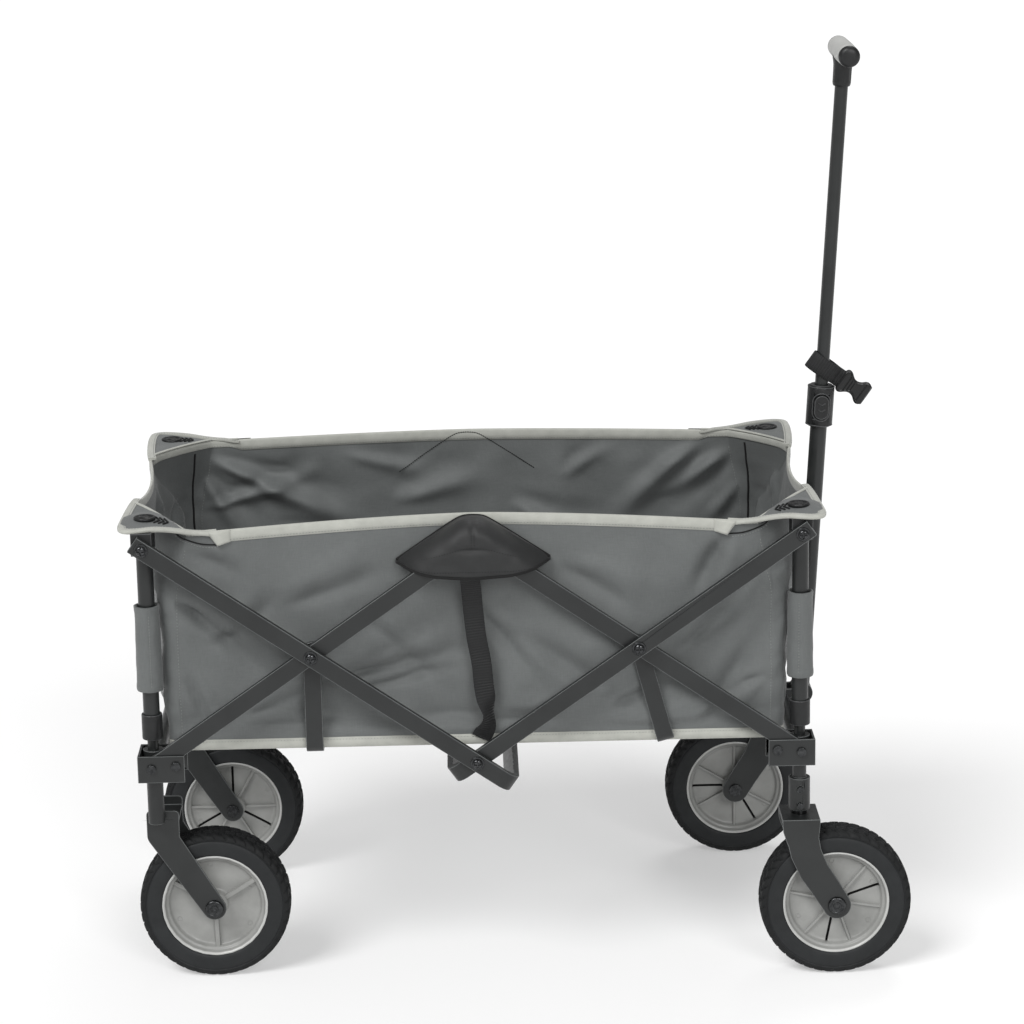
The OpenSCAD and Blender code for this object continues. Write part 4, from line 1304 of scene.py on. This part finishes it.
def sleeve_part():
    """A fabric sleeve round a post, wider at its foot, with hems and a flat side seam."""
    low, high = 364.0, 466.0
    profile = [(15.0, low), (15.7, low + 0.4), (15.8, low + 7), (15.3, low + 8), (15.2, low + 30),
               (14.6, 420), (14.3, high - 8), (14.6, high - 7), (14.7, high - 0.5), (14.1, high),
               (11.5, high - 1), (11.5, low + 1)]
    fine = spaced([(r, z, 0) for r, z in profile], 2.6)

    def place(i, j):
        r, z = fine[j][:2]
        a = 2 * math.pi * i / 56
        fold = 0.55 * wobble(math.cos(a) * 15, math.sin(a) * 15, z * 0.45, 9.0, 6.6)
        fold += 0.5 * max(0.0, 1 - abs((a + 2.1) % (2 * math.pi) - 0.5) / 0.16)
        r += fold if r > 12 else 0.0
        return (r * math.cos(a), r * math.sin(a), z, a * 15 * MM, z * MM)

    return grid(place, 56, len(fine), 2 * math.pi * 15 * MM)


def make_corners(x, body, end_name, sx):
    """The two ears and the two post sleeves at one end."""
    right_ear = make_ear(sx, -1, f"ear_{end_name}_right", body)
    make_ear(sx, 1, f"ear_{end_name}_left", body)
    sleeves = Shape()
    for sy in SIDES:
        place = Matrix.Translation((x, sy * HALF_TRACK, 0)) @ Matrix.Diagonal((-sx, -sy, 1, 1))
        sleeves.add(sleeve_part(), 0, place)
        row = [(x - sx * 3.0, sy * (HALF_TRACK + 15.6), z) for z in range(370, 462, 4)]
        sleeves.add(stitches(row, (0, sy, 0), 3.6), 1)
    piece(f"sleeves_{end_name}", sleeves, [FABRIC, THREAD], body, 60)
    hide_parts(f"{end_name}_corner_covers")


make_corners(REAR_X, "upper_rear", "rear", -1)
make_corners(FRONT_X, "upper_front", "front", 1)


# ---- Centre flaps and hanging straps ----

FLAP_OUT = 239.0
FLAP_HALF = 88.0


def flap_edge(x):
    """How high the flap's sloping sewn edge is at x from the middle."""
    reach = abs(x)
    return 564.1 - 0.34 * (reach - 13.0 + math.sqrt((reach - 13.0) ** 2 + 40.0))


def flap_foot(x):
    """The lower edge of the flap, which hangs lowest in the middle."""
    return 510.5 - 13.0 * (1 - (abs(x) / FLAP_HALF) ** 2)


def flap_surface(x, s):
    """A place on the flap: s is 0 on the sewn edge and 1 on the foot."""
    top, foot = flap_edge(x), flap_foot(x)
    z = mix(top, foot, s)
    drop = (top - z) * 0.86
    shoulder = min(drop / (15.0 + 0.22 * abs(x)), 1.0)
    out = math.sqrt(max(0.0, 1 - (1 - shoulder) ** 2))
    reach = mix(FLAP_OUT, WALL_Y + 3.0, min(1.0, abs(x) / FLAP_HALF) ** 6)
    y = mix(WALL_Y + 2.5, reach, out)
    dart = math.exp(-(x / 2.2) ** 2) * smoothstep(z, 532, 540) * 3.2
    pinch = 3.4 * bump_at(z, 531 - 0.0012 * x * x, 3.0) * math.exp(-(x / 17.0) ** 2)
    puff = 1.6 * wobble(x, 0, z, 27.0, 9.2) + 1.0 * wobble(x, 0, z, 13.0, 2.2)
    y -= (dart + pinch) * out
    calm = out * smoothstep(s, 0.0, 0.2) * (1 - 0.8 * smoothstep(abs(x), 76, FLAP_HALF))
    return x, -(y + (0.8 + puff) * calm), z


def flap_line(xs, s, lift):
    """Places on the flap at each x, lifted outwards off it."""
    spots = [flap_surface(x, s) for x in xs]
    return [(x + MID_X, y - lift, z) for x, y, z in spots]


def flap_part():
    columns, rows = 72, 34

    def place(i, j):
        x = mix(-FLAP_HALF, FLAP_HALF, i / (columns - 1))
        x, y, z = flap_surface(x, j / (rows - 1))
        return (x + MID_X, y, z, x * MM, z * MM)

    return grid(place, columns, rows)


def wall_face(x, z, sy):
    """How far out a side wall is at a place."""
    side = cloth_grid[cloth_grid[..., 1] * sy > 0]
    nearest = np.argsort((side[:, 0] - x) ** 2 + (side[:, 2] - z) ** 2)[:6]
    return float(np.abs(side[nearest, 1]).min())


def make_flaps():
    shape = Shape()
    shape.both(flap_part())
    for s, lift in ((0.0, 1.4), (0.99, 1.0)):
        edge = spaced(flap_line(np.linspace(-87.5, 87.5, 70), s, lift), 3.0)
        shape.both(sweep(edge, oval(1.8, 1.8, 8), (0, -1, 0)), 1)
    for s, reach in ((0.88, 84), (0.46, 62)):
        row = flap_line(np.linspace(-reach, reach, 60), s, 0.7)
        shape.both(stitches(row, (0, -1, 0), 3.2, (1.3, 0.9, 0.9)), 1)
    for side in (-1.6, 1.6):
        dart = [flap_line([side], s, 0.5)[0] for s in np.linspace(0.05, 0.42, 20)]
        shape.both(stitches(dart, (0, -1, 0), 2.6, (1.2, 0.8, 1.0)), 1)
    for sy in SIDES:
        inside = []
        for x in np.linspace(-86, 86, 100):
            z = flap_edge(x) + side_top(sy) - RIM_Z - 1.0
            on_band = z > rim_height("side", 0, x, sy) - BAND - 1.0
            inner_face = WALL_Y - 2.2 if on_band else wall_face(x, z, sy) - 1.2
            inside.append((x + MID_X - 4.0, sy * inner_face, z))
        shape.add(stitches(inside, (0, -sy, 0), 2.9, (1.6, 0.8, 0.8)), 1)
    flaps = piece("centre_flaps", shape, [FLAP, DARK_THREAD], "top_centre", 180)
    thicken(flaps, 1.0)
    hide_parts("centre_straps")


make_flaps()


def strap_part():
    """The strap from under the flap, down the wall to the bottom seam, with a half twist near its foot."""
    knots = [(-5, -234.0, 512), (-4.5, -231.0, 500), (-3.5, -223.0, 488), (-2.5, -215.5, 472),
             (-1.0, -212.6, 450), (2.0, -212.0, 420), (7.0, -211.6, 390), (9.0, -211.8, 365),
             (12.0, -213.0, 342), (14.0, -213.6, 326), (12.0, -211.5, 312), (8.0, -208.4, 303),
             (5.0, -206.6, 297)]
    line = spaced(curve([(x + MID_X, y, z) for x, y, z in knots], 8), 1.1)
    ups = []
    for x, y, z in line:
        twist = math.radians(58) * bump_at(z, 328, 17)
        ups.append((math.sin(twist), -math.cos(twist), 0.06))
    section = flat_section(23.0, 1.9)
    points, faces, uvs = sweep(line, section, np.array(ups))
    size = len(section)
    along, _ = lengths(line)
    for i in range(len(line)):
        rib = 0.28 * math.sin(2 * math.pi * along[i] / 3.5)
        centre = line[i]
        for j in range(size):
            k = i * size + j
            high = unit(np.array(ups[i]))
            side = 1 if np.dot(points[k] - centre, high) > 0 else -1
            points[k] = points[k] + high * side * rib
    return points, faces, uvs


straps = Shape().both(strap_part())
for z in (302.0, 299.5):
    straps.both(stitches([(MID_X - 6 + 4 * k, -209.4, z) for k in range(7)], (0, -1, 0), 3.4), 1)
piece("hanging_straps", straps, [WEBBING, DARK_THREAD], "top_centre", 50)


# ---- Floor board: four wrapped panels with folds between them ----

BOARD_Z = 305.0


def board_panel(low_x, high_x):
    """One padded panel with a rounded edge and a slightly crowned, wrinkled cover."""
    half_y = 193.0
    nx, ny = 20, 40
    shape = Shape()

    def surface(top):
        def place(i, j):
            s, t = i / (nx - 1), j / (ny - 1)
            x, y = mix(low_x, high_x, s), mix(-half_y, half_y, t)
            edge = min((x - low_x), (high_x - x), y + half_y, half_y - y)
            crown = math.sqrt(min(edge / 6.0, 1.0)) if edge > 0 else 0.0
            z = BOARD_Z + (4.0 * crown + 0.5 * wobble(x, y, 0, 40, 5.0) * crown if top else -3.9 * crown)
            return (x, y, z, x * MM, y * MM)
        return grid(place, nx, ny)

    shape.add(surface(True))
    points, faces, uvs = surface(False)
    corners = [uvs[k:k + 4][::-1] for k in range(0, len(uvs), 4)]
    shape.add((points, [face[::-1] for face in faces], [uv for corner in corners for uv in corner]))

    def oblong(inset, z):
        x0, x1, y1 = low_x + inset, high_x - inset, half_y - inset
        return [(x0, -y1, z), (x1, -y1, z), (x1, y1, z), (x0, y1, z)]

    dense = spaced(oblong(0, BOARD_Z), 6.0, True)
    # The piping round the panel is in the lighter plastic: a painted highlight along it.
    shape.add(sweep(dense, oval(1.5, 1.5, 8), (0, 0, 1), True), 1)
    seam = oblong(9, BOARD_Z + 4)
    shape.add(stitches(spaced(seam + seam[:1], 4.0), (0, 0, 1), 4.0, (1.3, 0.35, 0.6)), 2)
    return shape


board = Shape()
BOARD_START = MID_X - 345.0
PANEL, FOLD_GAP = 170.25, 3.0
for n in range(4):
    start = BOARD_START + n * (PANEL + FOLD_GAP)
    add_all(board, board_panel(start + 1.5, start + PANEL - 1.5))
for n in range(1, 4):
    fold_x = BOARD_START + n * (PANEL + FOLD_GAP) - FOLD_GAP / 2

    def hinge(i, j, x=fold_x):
        z = BOARD_Z + 0.6 - 1.6 * math.exp(-((j - 2.5) / 1.4) ** 2)
        return (x - 5 + j * 2.0, mix(-190, 190, i / 40), z, j * 0.002, i * 0.0095)

    board.add(grid(hinge, 41, 6))
floor_board = piece("wrapped_floor_board", board, [BOARD, BLACK_EDGE_HIGHLIGHT, THREAD], "upper_rear",
                    60)
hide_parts("floor_board")


def make_underside():
    """The basket's own bottom cloth under the board, sagging a little between the supports."""
    nx, ny = 60, 34

    def place(i, j):
        s, t = i / (nx - 1), j / (ny - 1)
        x, y = mix(-353.0, 353.0, s), mix(-201.0, 201.0, t)
        sag = 1.4 * math.sin(math.pi * t) * (0.6 + 0.4 * wobble(x, y, 0, 70, 8.8))
        return (x + MID_X, y, 299.0 - sag, x * MM, y * MM)

    shape = Shape().add(grid(place, nx, ny))
    under = piece("basket_bottom", shape, [FABRIC], "upper_rear", 180)
    thicken(under, 1.4)
    return under


basket_bottom = make_underside()


# ---- Pull handle: grip, caps, neck, strap and buckle, in the handle's own upright frame ----

HANDLE = Matrix.Translation((346.0, 0.0, 280.0)) @ Matrix.Rotation(math.radians(3.4), 4, "Y")
GRIP_AT = 779.0


def grip_part():
    """A soft grip round the bar, a little fuller in the middle, with a shallow ring near each end."""
    half = 52.0
    profile = []
    for k in range(61):
        y = mix(-half, half, k / 60)
        r = 13.1 - 0.35 * (abs(y) / half) ** 2
        r -= 0.5 * bump_at(abs(y), 47.5, 0.9)
        r -= 1.3 * smoothstep(abs(y), 50.6, 52.0)
        profile.append((r, y))
    return lathe([(8.4, -half), *profile, (8.4, half)], 56, "y")


def cap_part():
    """A domed black end cap that faces -Y."""
    return lathe([(9.0, 51.5), (12.2, 51.6), (12.6, 52.2), (12.6, 53.6), (12.2, 55.8), (10.9, 58.0),
                  (8.4, 59.4), (5.0, 60.1), (2.0, 60.2), (0.02, 60.2)], 56, "-y")


def neck_part():
    """The tee's neck: round, with shallow upright flutes and a chamfered foot."""
    heights = [(739.0, 9.4), (740.2, 10.3), (743.0, 10.8), (745.0, 10.8), (748.0, 10.8), (758.0, 10.9),
               (764.0, 11.1), (768.0, 11.8), (772.0, 12.6), (779.0, 12.9)]

    def place(i, j):
        z, r = heights[j]
        a = 2 * math.pi * i / 64
        if 744.0 < z < 765.0:
            r -= 0.55 * max(0.0, math.sin(8 * a)) ** 0.5
        return (r * math.cos(a), r * math.sin(a), z, a * 11 * MM, z * MM)

    return grid(place, 64, len(heights), 2 * math.pi * 11 * MM)


tee = Shape()
across = HANDLE @ Matrix.Translation((0, 0, GRIP_AT))
tee.add(neck_part(), 0, HANDLE)
tee.add(cap_part(), 0, across)
tee.add(mirrored(cap_part()), 0, across)
tee.add(lathe([(9.0, -51.0), (9.0, 51.0)], 32, "y"), 0, across)
tee_piece = piece("tee_core", tee, [BLACK], "handle_upper", 40)
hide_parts("handle_tee")

grip = Shape().add(grip_part(), 0, across)
grip_piece = piece("soft_grip", grip, [GRIP], "handle_upper", 40)
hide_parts("handle_grip")



# ---- Two chevrons and a rim on the collar's button, and mould lines on the collar ----

BUTTON_Z = 357.5


def turns(count):
    """Equal turns round a circle."""
    return np.linspace(0, 2 * math.pi, count, endpoint=False)


def long_ring(r, half):
    """An upright ring with round ends and straight sides round the button's middle, as (x, z)."""
    return [(r * math.cos(a), BUTTON_Z + (half if math.sin(a) > 0 else -half) + r * math.sin(a))
            for a in turns(64)]


# The button's marks are in the lighter plastic: a painted highlight on them.
marks = Shape()
for n in range(2):
    z = 352.4 + 7.6 * n
    line = [(-4.6, -18.6, z + 3.0), (0, -18.6, z), (4.6, -18.6, z + 3.0)]
    marks.add(sweep(spaced(line, 1.2), flat_section(1.8, 1.5), (0, -1, 0)), 0, HANDLE)
oblong = [(x, -18.4, z) for x, z in long_ring(8.0, 5.8)]
marks.add(sweep(spaced(oblong, 1.6, True), oval(0.55, 0.5, 8), (0, -1, 0), True), 0, HANDLE)
piece("button_marks", marks, [BLACK_EDGE_HIGHLIGHT], "handle_push_button", 50)

# The bezel and rings are in the lighter plastic: a painted highlight on them.
bezel = Shape()
wide = [(x, -math.sqrt(16.2 ** 2 - x ** 2) - 0.1, z) for x, z in long_ring(10.1, 6.6)]
bezel.add(sweep(spaced(wide, 1.8, True), oval(0.9, 0.9, 8), (0, -1, 0), True), 0, HANDLE)
for z in (334.5, 380.5):
    ring = [(15.6 * math.cos(a), 15.6 * math.sin(a), z) for a in turns(60)]
    bezel.add(sweep(ring, oval(0.7, 0.7, 8), (0, 0, 1), True), 0, HANDLE)
piece("collar_bezel", bezel, [BLACK_EDGE_HIGHLIGHT], "handle_lower", 50)


# The strap and its buckle lean with the loop they hang from: x is out along the tail, z is the strap's width
STRAP = HANDLE @ Matrix.Translation((0, 0, 404.5)) @ Matrix.Rotation(math.radians(32), 4, "Y")


def strap_loop():
    """A band of webbing round the tube whose two ends meet in a tail, with raised ribs across it."""
    half = [(27.4, 1.35), (22.5, 1.35), (19.0, 1.7), (16.0, 3.8), (12.4, 7.4), (8.2, 9.5), (2.0, 9.7),
            (-4.0, 9.7), (-8.2, 9.5), (-13.6, 7.3), (-16.6, 3.6)]
    knots = half + [(-17.7, 0.0)] + [(x, -y) for x, y in reversed(half)]
    line = spaced(curve([(x, y, 0.0) for x, y in knots], 8), 0.9)
    out = level_normals(tangents(line))
    points, faces, uvs = sweep(line, flat_section(22.0, 2.0), out)
    rows = points.reshape(len(line), -1, 3)
    along, _ = lengths(line)
    for k, place in enumerate(rows):
        outward_by = np.sign((place - line[k]) @ out[k])
        place += np.outer(outward_by * 0.2 * math.sin(2 * math.pi * along[k] / 2.7), out[k])
    return rows.reshape(-1, 3), faces, uvs


webbing = Shape().add(strap_loop(), 0, STRAP)
for face in SIDES:
    for x in (20.5, 24.5):
        row = [(x, face * 2.6, z) for z in np.linspace(-9.5, 9.5, 20)]
        webbing.add(stitches(row, (0, face, 0), 2.4, (0.9, 0.4, 0.4)), 1, STRAP)
strap_piece = piece("handle_webbing", webbing, [WEBBING, DARK_THREAD], "handle_lower", 50)
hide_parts("handle_strap")

BUCKLE_AT = 27.0
BUCKLE_LONG = 36.5
BUCKLE_HALF = [(0.0, 11.3), (1.5, 13.6), (3.6, 14.8), (6.0, 14.7), (8.5, 13.4), (11.5, 11.0), (14.5, 9.2),
               (18.0, 8.5), (21.5, 9.2), (24.5, 10.8), (27.5, 13.4), (30.0, 14.6), (32.6, 14.6), (35.0, 13.4),
               (BUCKLE_LONG, 12.2)]


def box_turn(j, around, wide, thick):
    """The j-th place round a soft-cornered oblong."""
    a = 2 * math.pi * j / around
    across = wide * math.copysign(abs(math.cos(a)) ** 0.35, math.cos(a))
    deep = thick * math.copysign(abs(math.sin(a)) ** 0.35, math.sin(a))
    return across, deep


def buckle_body():
    """A side-release buckle's socket: waisted, hollow at its open end, with a raised frame and grip ribs."""
    outline = curve([(x, half, 0.0) for x, half in BUCKLE_HALF], 4)
    around = 56

    def outer(i, j):
        if i == 0 or i > len(outline):
            x, half = outline[0 if i == 0 else -1, :2]
            across, deep = box_turn(j, around, half * 0.2 if i == 0 else 6.7, 1.0 if i == 0 else 2.3)
            return (x, deep, across, 0.0, j * 0.001)
        x, half = outline[i - 1, :2]
        end = min(x, BUCKLE_LONG - x)
        soft = 1.0 - 0.22 * max(0.0, 1 - end / 2.2) ** 2
        across, deep = box_turn(j, around, half, 4.4 * soft)
        flat = 1 - smoothstep(abs(across), half - 3.4, half - 2.2)
        deep -= math.copysign(0.9 * flat * smoothstep(x, 5.0, 6.2) * (1 - smoothstep(x, 29.0, 30.2)), deep)
        rib = flat * (bump_at(x, 10.0, 0.9) + bump_at(x, 13.5, 0.9) + bump_at(x, 17.0, 0.9))
        deep += math.copysign(0.7 * rib, deep)
        return (x, deep, across, x * MM, j * 0.001)

    def cavity(i, j):
        x = BUCKLE_LONG - 17.0 * min(i, 7) / 7
        across, deep = box_turn(j, around, 6.7 if i < 8 else 0.1, 2.3 if i < 8 else 0.05)
        return (x, deep, across, x * MM, j * 0.001)

    shape = Shape().add(grid_round(outer, len(outline) + 2, around))
    return shape.add(grid_round(cavity, 9, around))


def grid_round(place, count, around):
    """A tube of rings: place(i, j) is the j-th point round the i-th ring."""
    return grid(lambda j, i: place(i, j), around, count, around * 0.001)


buckle = Shape()
add_all(buckle, buckle_body(), STRAP @ Matrix.Translation((BUCKLE_AT, 0, 0)))
# Two rings round the socket's open end, in the lighter plastic: a painted highlight on its edge.
for wide, thick in ((11.9, 3.7), (6.9, 2.5)):
    lip = []
    for j in range(56):
        across, deep = box_turn(j, 56, wide, thick)
        lip.append((BUCKLE_AT + BUCKLE_LONG - 0.1, deep, across))
    buckle.add(sweep(lip, oval(0.75, 0.75, 6), (1, 0, 0), True), 1, STRAP)
buckle_piece = piece("socket_buckle", buckle, [GLOSS_BLACK, BLACK_EDGE_HIGHLIGHT], "handle_lower", 40)
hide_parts("strap_buckle")


# ---- Soft pieces: each gets its own copy of its mesh ----

for soft_piece in (walls, rim_binding, bottom_binding, seam_lines, floor_board, basket_bottom):
    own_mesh(soft_piece)


# ---- Floor, light and view settings ----

def add_sun(name, place, strength, angle):
    data = bpy.data.lights.new(name, "SUN")
    data.energy = strength
    data.angle = math.radians(angle)
    lamp = bpy.data.objects.new(name, data)
    lamp.rotation_euler = Vector(place).to_track_quat("Z", "Y").to_euler()
    bpy.context.scene.collection.objects.link(lamp)


def make_stage():
    world = bpy.data.worlds.new("studio")
    world.use_nodes = True
    world.node_tree.nodes["Background"].inputs["Color"].default_value = (1, 1, 1, 1)
    world.node_tree.nodes["Background"].inputs["Strength"].default_value = 0.34
    bpy.context.scene.world = world
    mesh = bpy.data.meshes.new("studio_floor")
    mesh.from_pydata([(-60, -60, 0), (60, -60, 0), (60, 60, 0), (-60, 60, 0)], [], [(0, 1, 2, 3)])
    floor = bpy.data.objects.new("studio_floor", mesh)
    bpy.context.scene.collection.objects.link(floor)
    pale = Finish("studio_floor_look", Specular_IOR_Level=0.1, Emission_Color=(1, 1, 1, 1),
                  Emission_Strength=0.37)
    cloud = pale.ramp(pale.noise(0.6, 2), (0.3, (0.60, 0.60, 0.60)), (0.7, (0.62, 0.62, 0.62)))
    pale.wire(cloud, "Base Color")
    pale.roughness(pale.noise(3, 2), 0.85, 0.95)
    mesh.materials.append(pale.material)
    floor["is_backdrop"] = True
    add_sun("key", (-1.1, -1.3, 1.8), 2.1, 26)
    add_sun("front", (0.7, -2.0, 1.1), 1.25, 24)
    add_sun("back", (0.4, 1.3, 1.9), 0.5, 24)
    view = bpy.context.scene.view_settings
    view.view_transform = "Standard"
    view.look = "None"


make_stage()

box = [[list(corner) for corner in bounds] for bounds in (cad_box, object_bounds())]
